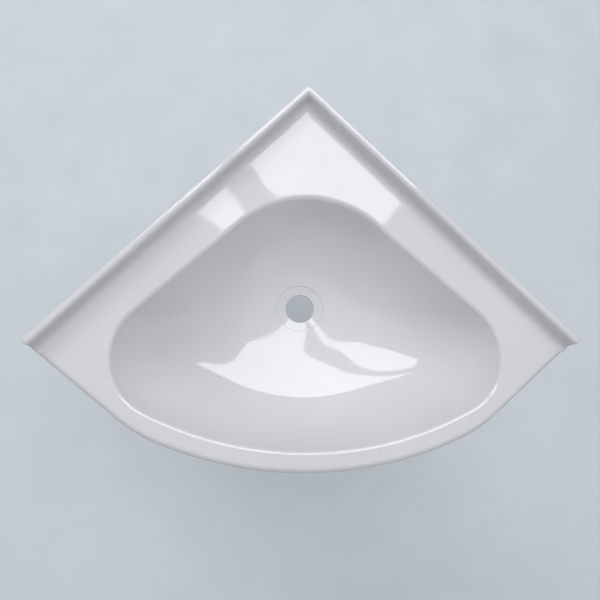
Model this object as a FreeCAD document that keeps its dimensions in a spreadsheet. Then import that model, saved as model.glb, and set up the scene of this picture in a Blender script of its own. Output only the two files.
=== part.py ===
"""Corner basin: a formed plastic moulding on a timber frame, as a parametric FreeCAD document.

The frame of the part, in millimetres:
    origin  the corner where the two wall planes meet, at the height of the rim's bottom edge
    +Z      up
    +X      to the right for someone standing in front of the basin, -Y towards them
Each wall plane leaves the origin at 45 degrees. A place along a wall is its "run" from the corner,
and a place in front of a wall is its "reach" from that wall.
"""

import FreeCAD, Part
import math
import os

import Sketcher
from FreeCAD import Placement, Rotation, Vector

# ---------------------------------------------------------------------------------------------
# Driving dimensions, in millimetres and degrees
# ---------------------------------------------------------------------------------------------
SIZES = {
    # rim, seen from above
    "wall_leg": 402.0,  # corner to tip, along each wall
    "corner_radius": 6.0,  # vertical edge in the room corner
    "return_angle": 39.5,  # slope of the short straight sides against the X axis
    "return_length": 116.7,  # tip to shoulder, along a straight side
    "shoulder_radius": 160.0,  # between a straight side and the front
    "shoulder_turn": 16.35,  # angle of a shoulder's arc; the front's arc turns the rest of the way
    # rim, in section
    "rim_height": 28.0,  # bottom edge to deck
    "rim_edge_radius": 6.0,
    "skin": 3.0,  # thickness of the formed sheet
    # upstand along the walls
    "upstand_setback": 2.0,  # rim left beyond its ends
    "upstand_height": 22.0,  # above the deck
    "upstand_width": 9.0,
    "upstand_round": 4.0,  # along its top edges
    "cove_radius": 8.5,  # between the upstand and the deck
    # bowl at deck height: a rounded triangle
    "mouth_back": 125.0,  # corner to the back of the mouth
    "mouth_back_radius": 110.0,
    "mouth_side_radius": 62.0,
    "mouth_margin": 21.0,  # flat rim left in front of the mouth
    "mouth_edge_radius": 5.0,
    "back_angle": 42.0,  # slope of the bowl's two straight back walls against the X axis
    # bowl at its floor: a smaller rounded triangle
    "bowl_depth": 110.0,
    "bowl_skin": 2.4,  # the sheet thins where it is drawn deep
    "floor_behind": 35.0,  # behind the middle of the waste hole
    "floor_back_radius": 33.0,
    "floor_side_radius": 27.0,
    "floor_ahead": 37.0,  # in front of it
    "floor_front_radius": 88.0,
    # how the outline shrinks with depth: superellipses, which keep the wall steep and turn it late
    "fall": 1.1,
    "back_fullness": 2.6,
    "front_fullness": 3.5,
    "arc_fullness": 1.0,  # the radius of the front's arc shrinks nearly evenly instead
    # waste hole and its seat
    "waste_reach": 226.0,  # corner to the middle of the hole
    "waste_radius": 17.5,
    "seat_radius": 28.5,
    "seat_depth": 1.8,
    "seat_skin": 3.0,  # sheet under the seat
    "seat_edge_radius": 0.8,
    "boss_margin": 4.5,  # boss beyond the seat, under the bowl
    # ring bonded under the waste seat
    "ring_margin": 3.0,  # ring beyond the seat
    "ring_thickness": 4.0,
    "ring_clearance": 0.5,  # ring's hole beyond the waste hole
    # timber frame bonded inside the rim
    "fit": 0.2,  # clearance between bonded pieces
    "rail_width": 18.0,
    "rail_height": 21.0,
    "rail_setback": 6.0,  # rim left beyond the ends of the wall rails
    "side_rail_width": 12.0,
    "side_rail_length": 74.0,
    "strip_width": 11.0,
    "strip_height": 18.0,
    "strip_setback": 9.3,  # front's arc left beyond the ends of the strip, along the X axis
    "board_thickness": 9.0,
    "board_setback": 11.0,  # from the mouth of the bowl to the board's front edge
    # wall fixing holes through the rim and the rails
    "fixing_first": 66.0,  # corner to the first hole, along the wall
    "fixing_pitch": 130.0,
    "fixing_rise": 12.0,  # above the rim's bottom edge
    "fixing_radius": 2.75,
    # countersunk screws that hold the frame together
    "screw_radius": 2.0,
    "screw_head_radius": 4.0,
    "screw_head_height": 2.6,
    "screw_length": 40.0,
    "screw_point": 5.0,
    "slot_width": 1.0,
    "slot_depth": 1.0,
    "screw_rise": 10.0,  # lower screws above the rim's bottom edge
    "screw_stagger": 9.0,  # between the two screws that cross in the corner block
}
# Sizes of the front's arc, which closes the outline between the two shoulders
FRONT_SIZES = {
    "front_turn": "return_angle - shoulder_turn",  # from the middle of the front to a shoulder
    "front_half": (
        "wall_leg / sqrt(2) - return_length * cos(return_angle * 1 deg)"
        " - shoulder_radius * (sin(return_angle * 1 deg) - sin(front_turn * 1 deg))"
    ),  # middle of the front to a shoulder, along the X axis
    "front_radius": "front_half / sin(front_turn * 1 deg)",
    "front_reach": (
        "wall_leg / sqrt(2) + return_length * sin(return_angle * 1 deg)"
        " + shoulder_radius * (cos(front_turn * 1 deg) - cos(return_angle * 1 deg))"
        " + front_radius * (1 - cos(front_turn * 1 deg))"
    ),  # room corner to the middle of the front
}
FIXINGS_PER_WALL = 3
BOWL_STEPS = 8  # bowl outlines below the mouth
WALL_ANGLE = 45.0
LEFT, RIGHT = -1, 1
SIDES = {LEFT: "left", RIGHT: "right"}
NEAR = 1e-4  # how close counts as the same place when edges are picked

# Places that several pieces share, as expressions over the sheet
UPSTAND_LEG = "(Sizes.wall_leg - Sizes.upstand_setback)"
FRAME_REACH = "(Sizes.skin + Sizes.fit)"
FRAME_TOP = "(Sizes.rim_height - Sizes.skin)"
FRAME_FOOT = f"({FRAME_TOP} - Sizes.rail_height)"
RAIL_MIDDLE = f"({FRAME_REACH} + Sizes.rail_width / 2)"
RAIL_INSIDE = f"({FRAME_REACH} + Sizes.rail_width)"
RAIL_START = f"({RAIL_INSIDE} + Sizes.fit)"
BLOCK_START = "(Sizes.corner_radius - (Sizes.corner_radius - Sizes.skin - Sizes.fit) / sqrt(2))"
RETURN_TURN = f"(({WALL_ANGLE} + Sizes.return_angle) * 1 deg)"
OFF_RETURN = f"(Sizes.wall_leg * sin({RETURN_TURN}))"
SIDE_MIDDLE = f"({OFF_RETURN} - {FRAME_REACH} - Sizes.side_rail_width / 2)"
SCREW_HEIGHT = {LEFT: "Sizes.screw_rise", RIGHT: "(Sizes.screw_rise + Sizes.screw_stagger)"}
SCREW_GRIP = f"({RAIL_START} + (Sizes.screw_length - Sizes.rail_width) / 2)"
TIP_RUN = f"(({SIDE_MIDDLE} - {SCREW_GRIP} * cos({RETURN_TURN})) / sin({RETURN_TURN}))"
SEAT_UNDERSIDE = "(Sizes.rim_height - Sizes.bowl_depth - Sizes.seat_depth - Sizes.seat_skin)"

doc = FreeCAD.newDocument("corner_basin")
sheet = doc.addObject("Spreadsheet::Sheet", "Sizes")
for row, (alias, content) in enumerate([*SIZES.items(), *FRONT_SIZES.items()], start=1):
    sheet.set(f"A{row}", alias)
    sheet.set(f"B{row}", f"={content}")
    sheet.setAlias(f"B{row}", alias)
doc.recompute()


def value(expression):
    """Number that an expression over the sheet gives."""
    result = sheet.evalExpression(expression)
    return float(getattr(result, "Value", result))


def size(alias):
    """Number in the sheet cell with this alias."""
    return value(f"Sizes.{alias}")


# ---------------------------------------------------------------------------------------------
# Sketching
# ---------------------------------------------------------------------------------------------
def new_body(name):
    body = doc.addObject("PartDesign::Body", name)
    body.Label = name
    return body


def new_sketch(body, name, height="0"):
    """Sketch seen from above, at a height given by an expression."""
    sketch = body.newObject("Sketcher::SketchObject", name)
    support = next(item for item in body.Origin.OriginFeatures if item.Role == "XY_Plane")
    sketch.AttachmentSupport = [(support, "")]
    sketch.MapMode = "FlatFace"
    sketch.setExpression("AttachmentOffset.Base.z", height)
    return sketch


def wall_sketch(body, name, side, along, offset="0"):
    """Upright sketch in the frame of one wall, with heights along its Y axis.

    Along the wall, its X axis is the run from the corner and the offset is a reach. Across the
    wall, its X axis is the reach and the offset is a run.
    """
    turn = {(LEFT, True): -135.0, (RIGHT, True): -45.0, (LEFT, False): -45.0, (RIGHT, False): -135.0}
    sketch = body.newObject("Sketcher::SketchObject", name)
    support = next(item for item in body.Origin.OriginFeatures if item.Role == "XZ_Plane")
    sketch.AttachmentSupport = [(support, "")]
    sketch.MapMode = "FlatFace"
    sketch.AttachmentOffset = Placement(Vector(), Rotation(Vector(0, 1, 0), turn[side, along]))
    sideways = -side if along else side
    sketch.setExpression("AttachmentOffset.Base.x", f"{sideways} * ({offset}) / sqrt(2)")
    sketch.setExpression("AttachmentOffset.Base.z", f"({offset}) / sqrt(2)")
    return sketch


def constrain(sketch, name, expression, kind, *where):
    """Add a named dimension and bind it to the sheet."""
    number = value(expression)
    if kind == "Angle":
        number = math.radians(number)
        expression = f"({expression}) * 1 deg"
    index = sketch.addConstraint(Sketcher.Constraint(kind, *where, number))
    sketch.renameConstraint(index, name)
    sketch.setExpression(f"Constraints.{name}", expression)


def arc(centre, radius, start, end):
    """Anticlockwise arc between two of its points."""
    angles = [math.atan2(point.y - centre.y, point.x - centre.x) for point in (start, end)]
    if angles[1] < angles[0]:
        angles[1] += 2 * math.pi
    circle = Part.Circle(centre, Vector(0, 0, 1), radius)
    return Part.ArcOfCircle(circle, *angles)


def polygon(sketch, points):
    """Straight edges between points in order, joined end to end and closed."""
    count = len(points)
    for index in range(count):
        sketch.addGeometry(Part.LineSegment(points[index], points[(index + 1) % count]))
    for index in range(count):
        sketch.addConstraint(Sketcher.Constraint("Coincident", index, 2, (index + 1) % count, 1))


def flip(point):
    """Mirror image across the plane X = 0."""
    return Vector(-point.x, point.y, point.z)


def side_arc(through, heading, radius, front_centre, front_radius):
    """Arc on the right that joins a straight edge to the front arc, as its centre and two ends.

    The heading runs clockwise round the outline, so the inside is to its right. The centre lies one
    radius inside the line and one radius inside the front circle: a quadratic for its place along
    the line.
    """
    inside = Vector(heading.y, -heading.x, 0)
    start = through + inside * radius - front_centre
    along = start.dot(heading)
    rest = start.dot(start) - (front_radius - radius) ** 2
    step = -along + math.sqrt(along * along - rest)
    centre = front_centre + start + heading * step
    outwards = (centre - front_centre).normalize()
    return centre, through + heading * step, front_centre + outwards * front_radius


def bowl_outline(sketch, back, back_radius, side_radius, front, front_radius):
    """Rounded triangle: its six stretches run anticlockwise from the arc at its back.

    The five sizes are expressions over the sheet.
    """
    slope = math.radians(size("back_angle"))
    radius = value(back_radius)
    back_centre = Vector(0, -(value(back) + radius), 0)
    front_centre = Vector(0, value(front_radius) - value(front), 0)
    heading = Vector(math.cos(slope), -math.sin(slope), 0)
    leaving = back_centre + Vector(math.sin(slope), math.cos(slope), 0) * radius
    centre, arriving, on_front = side_arc(
        leaving, heading, value(side_radius), front_centre, value(front_radius)
    )
    sketch.addGeometry(
        [
            arc(back_centre, radius, leaving, flip(leaving)),
            Part.LineSegment(flip(leaving), flip(arriving)),
            arc(flip(centre), value(side_radius), flip(arriving), flip(on_front)),
            arc(front_centre, value(front_radius), flip(on_front), on_front),
            arc(centre, value(side_radius), on_front, arriving),
            Part.LineSegment(arriving, leaving),
        ]
    )
    for index in range(6):
        sketch.addConstraint(Sketcher.Constraint("Tangent", index, 2, (index + 1) % 6, 1))
    for index in (0, 3):
        sketch.addConstraint(Sketcher.Constraint("PointOnObject", index, 3, -2))
    constrain(sketch, "back_radius", back_radius, "Radius", 0)
    constrain(sketch, "back", f"{back} + ({back_radius})", "DistanceY", 0, 3, -1, 1)
    constrain(sketch, "left_radius", side_radius, "Radius", 2)
    constrain(sketch, "right_radius", side_radius, "Radius", 4)
    constrain(sketch, "front_radius", front_radius, "Radius", 3)
    constrain(sketch, "front", f"{front} - ({front_radius})", "DistanceY", 3, 3, -1, 1)
    constrain(sketch, "left_slope", "Sizes.back_angle - 180", "Angle", 1)
    constrain(sketch, "right_slope", "180 - Sizes.back_angle", "Angle", 5)


def rim_outline(sketch, inset="0"):
    """Outline of the rim from above, or a line inside it by an inset, with sharp tips.

    Its eight stretches run anticlockwise from the arc in the room corner.
    """
    inside = value(inset)
    slope = math.radians(size("return_angle"))
    corner_centre = Vector(0, -size("corner_radius") * math.sqrt(2), 0)
    corner_radius = size("corner_radius") - inside
    front_radius = size("front_radius") - inside
    front_centre = Vector(0, size("front_radius") - size("front_reach"), 0)
    shoulder_radius = size("shoulder_radius") - inside
    off_wall = Vector(1, 1, 0).normalize()
    heading = Vector(-math.cos(slope), -math.sin(slope), 0)
    leaving = corner_centre + off_wall * corner_radius
    outer_tip = Vector(1, -1, 0).normalize() * size("wall_leg")
    on_return = outer_tip + Vector(heading.y, -heading.x, 0) * inside
    tip = on_return - heading * ((on_return - leaving).dot(off_wall) / heading.dot(off_wall))
    centre, arriving, on_front = side_arc(tip, heading, shoulder_radius, front_centre, front_radius)
    sketch.addGeometry(
        [
            arc(corner_centre, corner_radius, leaving, flip(leaving)),
            Part.LineSegment(flip(leaving), flip(tip)),
            Part.LineSegment(flip(tip), flip(arriving)),
            arc(flip(centre), shoulder_radius, flip(arriving), flip(on_front)),
            arc(front_centre, front_radius, flip(on_front), on_front),
            arc(centre, shoulder_radius, on_front, arriving),
            Part.LineSegment(arriving, tip),
            Part.LineSegment(tip, leaving),
        ]
    )
    for index in range(8):
        kind = "Coincident" if index in (1, 6) else "Tangent"
        sketch.addConstraint(Sketcher.Constraint(kind, index, 2, (index + 1) % 8, 1))
    for index in (0, 4):
        sketch.addConstraint(Sketcher.Constraint("PointOnObject", index, 3, -2))
    constrain(sketch, "corner_radius", f"Sizes.corner_radius - ({inset})", "Radius", 0)
    constrain(sketch, "corner", "Sizes.corner_radius * sqrt(2)", "DistanceY", 0, 3, -1, 1)
    constrain(sketch, "left_shoulder", f"Sizes.shoulder_radius - ({inset})", "Radius", 3)
    constrain(sketch, "right_shoulder", f"Sizes.shoulder_radius - ({inset})", "Radius", 5)
    constrain(sketch, "front_radius", f"Sizes.front_radius - ({inset})", "Radius", 4)
    constrain(sketch, "front", "Sizes.front_reach - Sizes.front_radius", "DistanceY", 4, 3, -1, 1)
    constrain(sketch, "left_wall", f"{WALL_ANGLE} - 180", "Angle", 1)
    constrain(sketch, "right_wall", f"180 - {WALL_ANGLE}", "Angle", 7)
    constrain(sketch, "left_return", "-Sizes.return_angle", "Angle", 2)
    constrain(sketch, "right_return", "Sizes.return_angle", "Angle", 6)
    constrain(sketch, "left_tip", f"{OFF_RETURN} - ({inset})", "Distance", -1, 1, 2)
    constrain(sketch, "right_tip", f"{OFF_RETURN} - ({inset})", "Distance", -1, 1, 6)


def waste_circle(sketch, radius):
    """Circle about the middle of the waste hole, in a sketch seen from above."""
    centre = Vector(0, -size("waste_reach"), 0)
    sketch.addGeometry(Part.Circle(centre, Vector(0, 0, 1), value(radius)))
    constrain(sketch, "radius", radius, "Radius", 0)
    sketch.addConstraint(Sketcher.Constraint("PointOnObject", 0, 3, -2))
    constrain(sketch, "reach", "Sizes.waste_reach", "DistanceY", 0, 3, -1, 1)


def wall_circle(sketch, radius, across, height):
    """Circle in an upright sketch, placed by two expressions from the sketch's origin."""
    centre = Vector(value(across), value(height), 0)
    sketch.addGeometry(Part.Circle(centre, Vector(0, 0, 1), value(radius)))
    constrain(sketch, "radius", radius, "Radius", 0)
    constrain(sketch, "across", across, "DistanceX", -1, 1, 0, 3)
    constrain(sketch, "height", height, "DistanceY", -1, 1, 0, 3)


# ---------------------------------------------------------------------------------------------
# Features
# ---------------------------------------------------------------------------------------------
def extrude(body, kind, name, sketch, length, reverse=False):
    """Pad or Pocket of a sketch by an expression."""
    feature = body.newObject(f"PartDesign::{kind}", name)
    feature.Profile = sketch
    feature.setExpression("Length", length)
    feature.Reversed = reverse
    doc.recompute()
    return feature


def extrude_onward(body, kind, name, sketch, length, side, along):
    """Pad or Pocket from a wall sketch, away from the wall or away from the corner."""
    towards = (side == LEFT) == along
    return extrude(body, kind, name, sketch, length, towards if kind == "Pad" else not towards)


def skin_between(body, kind, name, sketches):
    """Additive or subtractive loft through sketches, in order."""
    feature = body.newObject(f"PartDesign::{kind}", name)
    feature.Profile = sketches[0]
    feature.Sections = sketches[1:]
    doc.recompute()
    return feature


def round_edges(body, name, base, wanted, radius):
    """Fillet on the edges of a feature that a test picks."""
    picked = [f"Edge{n}" for n, edge in enumerate(base.Shape.Edges, start=1) if wanted(edge)]
    feature = body.newObject("PartDesign::Fillet", name)
    feature.Base = (base, picked)
    feature.setExpression("Radius", radius)
    doc.recompute()
    return feature


def shrink(step, fullness):
    """Expression for how far a bowl outline has closed in, from 0 at the mouth to 1 at the floor."""
    return f"(1 - (1 - {depth_share(step)}^Sizes.fall)^(1 / Sizes.{fullness}))"


def depth_share(step):
    """Share of the bowl's depth at one outline, with the outlines closer together near the floor."""
    return f"{1 - (1 - step / BOWL_STEPS) ** 3:.5f}"


def bowl_sketches(body, name, skin):
    """Outlines of the bowl from its mouth down, moved outwards and down by a skin thickness."""
    mouth_front = "(Sizes.front_reach - Sizes.mouth_margin)"
    mouth_radius = "(Sizes.front_radius - Sizes.mouth_margin)"
    floor_back = "(Sizes.waste_reach - Sizes.floor_behind)"
    floor_front = "(Sizes.waste_reach + Sizes.floor_ahead)"
    ends = {
        "back": ("Sizes.mouth_back", floor_back, "back_fullness"),
        "back_radius": ("Sizes.mouth_back_radius", "Sizes.floor_back_radius", "back_fullness"),
        "side_radius": ("Sizes.mouth_side_radius", "Sizes.floor_side_radius", "back_fullness"),
        "front": (mouth_front, floor_front, "front_fullness"),
        "front_radius": (mouth_radius, "Sizes.floor_front_radius", "arc_fullness"),
    }
    top = "Sizes.rim_height" if skin == "0" else FRAME_TOP
    floor = f"(Sizes.rim_height - Sizes.bowl_depth - ({skin}))"
    sketches = []
    for step in range(BOWL_STEPS + 1):
        place = {}
        for key, (mouth, bottom, fullness) in ends.items():
            outwards = "-" if key == "back" else "+"
            closing = f"({bottom} - {mouth}) * {shrink(step, fullness)}"
            place[key] = f"({mouth} + {closing} {outwards} ({skin}))"
        height = f"{top} + ({floor} - {top}) * {depth_share(step)}"
        sketch = new_sketch(body, f"{name}_{step}", height)
        bowl_outline(sketch, **place)
        sketches.append(sketch)
    return sketches


def wall_band(sketch, near, far, run):
    """V-shaped band along both walls, between two reaches and out to a run, as expressions."""
    half_turn = math.sqrt(0.5)
    inner, outer, length = value(near), value(far), value(run)

    def place(along, reach, side):
        return Vector(side * (along - reach) * half_turn, -(along + reach) * half_turn, 0)

    points = [
        Vector(0, -inner / half_turn, 0),
        place(length, inner, LEFT),
        place(length, outer, LEFT),
        Vector(0, -outer / half_turn, 0),
        place(length, outer, RIGHT),
        place(length, inner, RIGHT),
    ]
    polygon(sketch, points)
    for index in (0, 3):
        sketch.addConstraint(Sketcher.Constraint("PointOnObject", index, 1, -2))
    for first, second in ((0, 2), (5, 3)):
        sketch.addConstraint(Sketcher.Constraint("Parallel", first, second))
    for first, second in ((0, 1), (4, 5)):
        sketch.addConstraint(Sketcher.Constraint("Perpendicular", first, second))
    constrain(sketch, "left_wall", f"{WALL_ANGLE} - 180", "Angle", 0)
    constrain(sketch, "right_wall", f"180 - {WALL_ANGLE}", "Angle", 5)
    constrain(sketch, "near", near, "Distance", -1, 1, 0)
    constrain(sketch, "far", far, "Distance", -1, 1, 2)
    constrain(sketch, "left_run", run, "Distance", -1, 1, 1)
    constrain(sketch, "right_run", run, "Distance", -1, 1, 4)


def corner_trim(sketch):
    """What lies between the arc in the room corner and the corner itself, and a little beyond."""
    radius = size("corner_radius")
    centre = Vector(0, -radius * math.sqrt(2), 0)
    right = centre + Vector(1, 1, 0).normalize() * radius
    beyond = Vector(0, radius, 0)
    sketch.addGeometry(
        [
            arc(centre, radius, right, flip(right)),
            Part.LineSegment(flip(right), beyond),
            Part.LineSegment(beyond, right),
        ]
    )
    for index in range(3):
        sketch.addConstraint(Sketcher.Constraint("Coincident", index, 2, (index + 1) % 3, 1))
    for where in ((0, 3), (1, 2)):
        sketch.addConstraint(Sketcher.Constraint("PointOnObject", *where, -2))
    constrain(sketch, "radius", "Sizes.corner_radius", "Radius", 0)
    constrain(sketch, "corner", "Sizes.corner_radius * sqrt(2)", "DistanceY", 0, 3, -1, 1)
    constrain(sketch, "beyond", "Sizes.corner_radius", "DistanceY", -1, 1, 1, 2)
    for point, name in ((1, "right_end"), (2, "left_end")):
        constrain(sketch, name, "Sizes.corner_radius / sqrt(2)", "DistanceY", 0, point, -1, 1)


# ---------------------------------------------------------------------------------------------
# Moulding
# ---------------------------------------------------------------------------------------------
def upstand_section(sketch):
    """Section of the upstand and its cove, from the wall plane outwards."""
    width = size("upstand_width")
    foot = size("rim_height") - size("rim_edge_radius")
    deck = size("rim_height")
    top = deck + size("upstand_height")
    turn = size("upstand_round")
    cove = size("cove_radius")
    points = [
        Vector(0, foot),
        Vector(width + cove, foot),
        Vector(width + cove, deck),
        Vector(width, deck + cove),
        Vector(width, top - turn),
        Vector(width - turn, top),
        Vector(0, top),
    ]
    sketch.addGeometry(
        [
            Part.LineSegment(points[0], points[1]),
            Part.LineSegment(points[1], points[2]),
            arc(Vector(width + cove, deck + cove), cove, points[3], points[2]),
            Part.LineSegment(points[3], points[4]),
            arc(Vector(width - turn, top - turn), turn, points[4], points[5]),
            Part.LineSegment(points[5], points[6]),
            Part.LineSegment(points[6], points[0]),
        ]
    )
    cove_index = 2  # its arc runs the other way round, so its two ends are swapped
    for index in range(7):
        following = (index + 1) % 7
        leaving = 1 if index == cove_index else 2
        arriving = 2 if following == cove_index else 1
        kind = "Tangent" if index in (cove_index, 3, 4) else "Coincident"
        sketch.addConstraint(Sketcher.Constraint(kind, index, leaving, following, arriving))
    for index in (0, 5):
        sketch.addConstraint(Sketcher.Constraint("Horizontal", index))
    for index in (1, 3, 6):
        sketch.addConstraint(Sketcher.Constraint("Vertical", index))
    sketch.addConstraint(Sketcher.Constraint("PointOnObject", 6, 1, -2))
    sketch.addConstraint(Sketcher.Constraint("Vertical", 2, 2, 2, 3))
    constrain(sketch, "foot", "Sizes.rim_height - Sizes.rim_edge_radius", "DistanceY", -1, 1, 0, 1)
    constrain(sketch, "deck", "Sizes.rim_height", "DistanceY", -1, 1, 1, 2)
    constrain(sketch, "top", "Sizes.rim_height + Sizes.upstand_height", "DistanceY", -1, 1, 5, 2)
    constrain(sketch, "width", "Sizes.upstand_width", "DistanceX", -1, 1, 3, 1)
    constrain(sketch, "cove", "Sizes.cove_radius", "Radius", 2)
    constrain(sketch, "round", "Sizes.upstand_round", "Radius", 4)


def rectangle(sketch, low_x, low_y, high_x, high_y):
    """Rectangle between two corners, each place an expression from the sketch's origin."""
    corners = [
        Vector(value(low_x), value(low_y), 0),
        Vector(value(high_x), value(low_y), 0),
        Vector(value(high_x), value(high_y), 0),
        Vector(value(low_x), value(high_y), 0),
    ]
    polygon(sketch, corners)
    for index in range(4):
        sketch.addConstraint(Sketcher.Constraint("Vertical" if index % 2 else "Horizontal", index))
    constrain(sketch, "low_x", low_x, "DistanceX", -1, 1, 0, 1)
    constrain(sketch, "low_y", low_y, "DistanceY", -1, 1, 0, 1)
    constrain(sketch, "high_x", high_x, "DistanceX", -1, 1, 2, 1)
    constrain(sketch, "high_y", high_y, "DistanceY", -1, 1, 2, 1)


def reach_of(edge):
    """Reach from the nearer wall of the middle of an edge."""
    middle = edge.valueAt((edge.FirstParameter + edge.LastParameter) / 2)
    return -(middle.y + abs(middle.x)) / math.sqrt(2)


def is_level(edge, height):
    """Whether an edge lies in the level plane at a height."""
    box = edge.BoundBox
    return abs(box.ZMin - height) < NEAR and box.ZLength < NEAR


def build_rim(body):
    """Rim with its free top edge rounded, still solid."""
    outline = new_sketch(body, "rim_outline")
    rim_outline(outline)
    block = extrude(body, "Pad", "rim_block", outline, "Sizes.rim_height")

    def is_free_edge(edge):
        return is_level(edge, size("rim_height")) and reach_of(edge) > size("corner_radius")

    round_edges(body, "rim_rounding", block, is_free_edge, "Sizes.rim_edge_radius")


def build_upstand(body):
    """Upstand along both walls, mitred in the corner, and the hollow under it and the rim."""
    for side, word in SIDES.items():
        section = wall_sketch(body, f"{word}_upstand_section", side, False)
        upstand_section(section)
        extrude_onward(body, "Pad", f"{word}_upstand", section, UPSTAND_LEG, side, False)
    trim = new_sketch(body, "corner_trim_outline")
    corner_trim(trim)
    whole = "Sizes.rim_height + Sizes.upstand_height"
    square = extrude(body, "Pocket", "corner_trim", trim, whole, True)

    def is_wall_edge(edge):
        return is_level(edge, value(whole)) and reach_of(edge) < size("corner_radius") / 2

    round_edges(body, "upstand_rounding", square, is_wall_edge, "Sizes.upstand_round")
    hollow = new_sketch(body, "underside_outline")
    rim_outline(hollow, "Sizes.skin")
    extrude(body, "Pocket", "underside", hollow, FRAME_TOP, True)
    slot = new_sketch(body, "upstand_hollow_outline", FRAME_TOP)
    wall_band(slot, "Sizes.skin", "Sizes.upstand_width - Sizes.skin", f"{UPSTAND_LEG} - Sizes.skin")
    extrude(body, "Pocket", "upstand_hollow", slot, "Sizes.upstand_height", True)


def build_bowl(body):
    """Bowl drawn down from the deck, with the waste seat and hole in its floor."""
    floor = "Sizes.rim_height - Sizes.bowl_depth"
    under = "Sizes.seat_depth + Sizes.seat_skin"
    outside = bowl_sketches(body, "outside", "Sizes.bowl_skin")
    skin_between(body, "AdditiveLoft", "bowl_outside", outside)
    boss = new_sketch(body, "seat_boss_outline", SEAT_UNDERSIDE)
    waste_circle(boss, "Sizes.seat_radius + Sizes.boss_margin")
    extrude(body, "Pad", "seat_boss", boss, under)
    inside = skin_between(body, "SubtractiveLoft", "bowl_inside", bowl_sketches(body, "inside", "0"))

    def is_mouth(edge):
        middle = edge.valueAt((edge.FirstParameter + edge.LastParameter) / 2)
        from_centre = math.hypot(middle.x, middle.y - size("front_radius") + size("front_reach"))
        in_front = from_centre < size("front_radius") - size("mouth_margin") + NEAR
        behind = middle.y > -size("mouth_back") + NEAR
        return is_level(edge, size("rim_height")) and in_front and not behind

    round_edges(body, "mouth_rounding", inside, is_mouth, "Sizes.mouth_edge_radius")
    seat = new_sketch(body, "seat_outline", floor)
    waste_circle(seat, "Sizes.seat_radius")
    recess = extrude(body, "Pocket", "seat", seat, "Sizes.seat_depth")

    def is_seat_edge(edge):
        round_enough = abs(edge.BoundBox.XLength / 2 - size("seat_radius")) < NEAR
        return is_level(edge, value(floor)) and round_enough

    round_edges(body, "seat_rounding", recess, is_seat_edge, "Sizes.seat_edge_radius")
    hole = new_sketch(body, "waste_outline", floor)
    waste_circle(hole, "Sizes.waste_radius")
    extrude(body, "Pocket", "waste_hole", hole, f"2 * ({under})")


def drill_fixings(body, side, reach, depth):
    """Row of wall fixing holes, drilled away from the wall."""
    for number in range(FIXINGS_PER_WALL):
        name = f"{SIDES[side]}_fixing_{number + 1}"
        outline = wall_sketch(body, f"{name}_outline", side, True, reach)
        run = f"Sizes.fixing_first + {number} * Sizes.fixing_pitch"
        wall_circle(outline, "Sizes.fixing_radius", run, "Sizes.fixing_rise")
        extrude_onward(body, "Pocket", name, outline, depth, side, True)


def build_moulding():
    """The one formed sheet: rim, upstand, bowl and waste seat."""
    body = new_body("basin_moulding")
    build_rim(body)
    build_upstand(body)
    build_bowl(body)
    for side in SIDES:
        drill_fixings(body, side, "0", "Sizes.skin")


# ---------------------------------------------------------------------------------------------
# Frame bonded inside the rim
# ---------------------------------------------------------------------------------------------
def drill_screw(body, name, side, along, offset, depth, across, height, head=True):
    """Screw hole in the frame of one wall, with a recess for the head where it starts."""
    bores = {"shank": ("Sizes.screw_radius + Sizes.fit", depth)}
    if head:
        bores["head"] = ("Sizes.screw_head_radius + Sizes.fit", "Sizes.screw_head_height")
    for word, (radius, length) in bores.items():
        outline = wall_sketch(body, f"{name}_{word}_outline", side, along, offset)
        wall_circle(outline, radius, across, height)
        extrude_onward(body, "Pocket", f"{name}_{word}", outline, length, side, along)


def build_corner_block():
    """Square block in the corner that both wall rails butt against."""
    body = new_body("corner_block")
    width = f"{RAIL_INSIDE} - {BLOCK_START}"
    outline = wall_sketch(body, "block_face", LEFT, True, BLOCK_START)
    rectangle(outline, BLOCK_START, FRAME_FOOT, RAIL_INSIDE, FRAME_TOP)
    extrude_onward(body, "Pad", "block", outline, width, LEFT, True)
    for side, word in SIDES.items():
        drill_screw(body, word, side, False, BLOCK_START, width, RAIL_MIDDLE, SCREW_HEIGHT[side])


def build_wall_rail(side):
    """Rail bonded behind the upstand, drilled for the wall fixings and the frame screws."""
    word = SIDES[side]
    body = new_body(f"{word}_wall_rail")
    face = wall_sketch(body, f"{word}_rail_face", side, True, FRAME_REACH)
    rectangle(face, RAIL_START, FRAME_FOOT, "Sizes.wall_leg - Sizes.rail_setback", FRAME_TOP)
    extrude_onward(body, "Pad", f"{word}_rail", face, "Sizes.rail_width", side, True)
    drill_fixings(body, side, FRAME_REACH, "Sizes.rail_width")
    into_end = f"Sizes.screw_length - ({RAIL_START} - {BLOCK_START}) + Sizes.fit"
    drill_screw(body, "end", side, False, RAIL_START, into_end, RAIL_MIDDLE, SCREW_HEIGHT[side], False)
    drill_screw(body, "tip", side, True, FRAME_REACH, "Sizes.rail_width", TIP_RUN, "Sizes.screw_rise")


def crossing(first, second, side):
    """Where two lines on the right cross, or its mirror image on the left.

    Each line is its distance from the origin and the direction, in degrees, in which it lies.
    """
    rows = []
    for distance, direction in (first, second):
        turn = math.radians(direction)
        rows.append((math.cos(turn), math.sin(turn), distance))
    (a, b, c), (d, e, f) = rows
    scale = a * e - b * d
    return Vector(side * (c * e - b * f) / scale, (a * f - c * d) / scale, 0)


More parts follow.
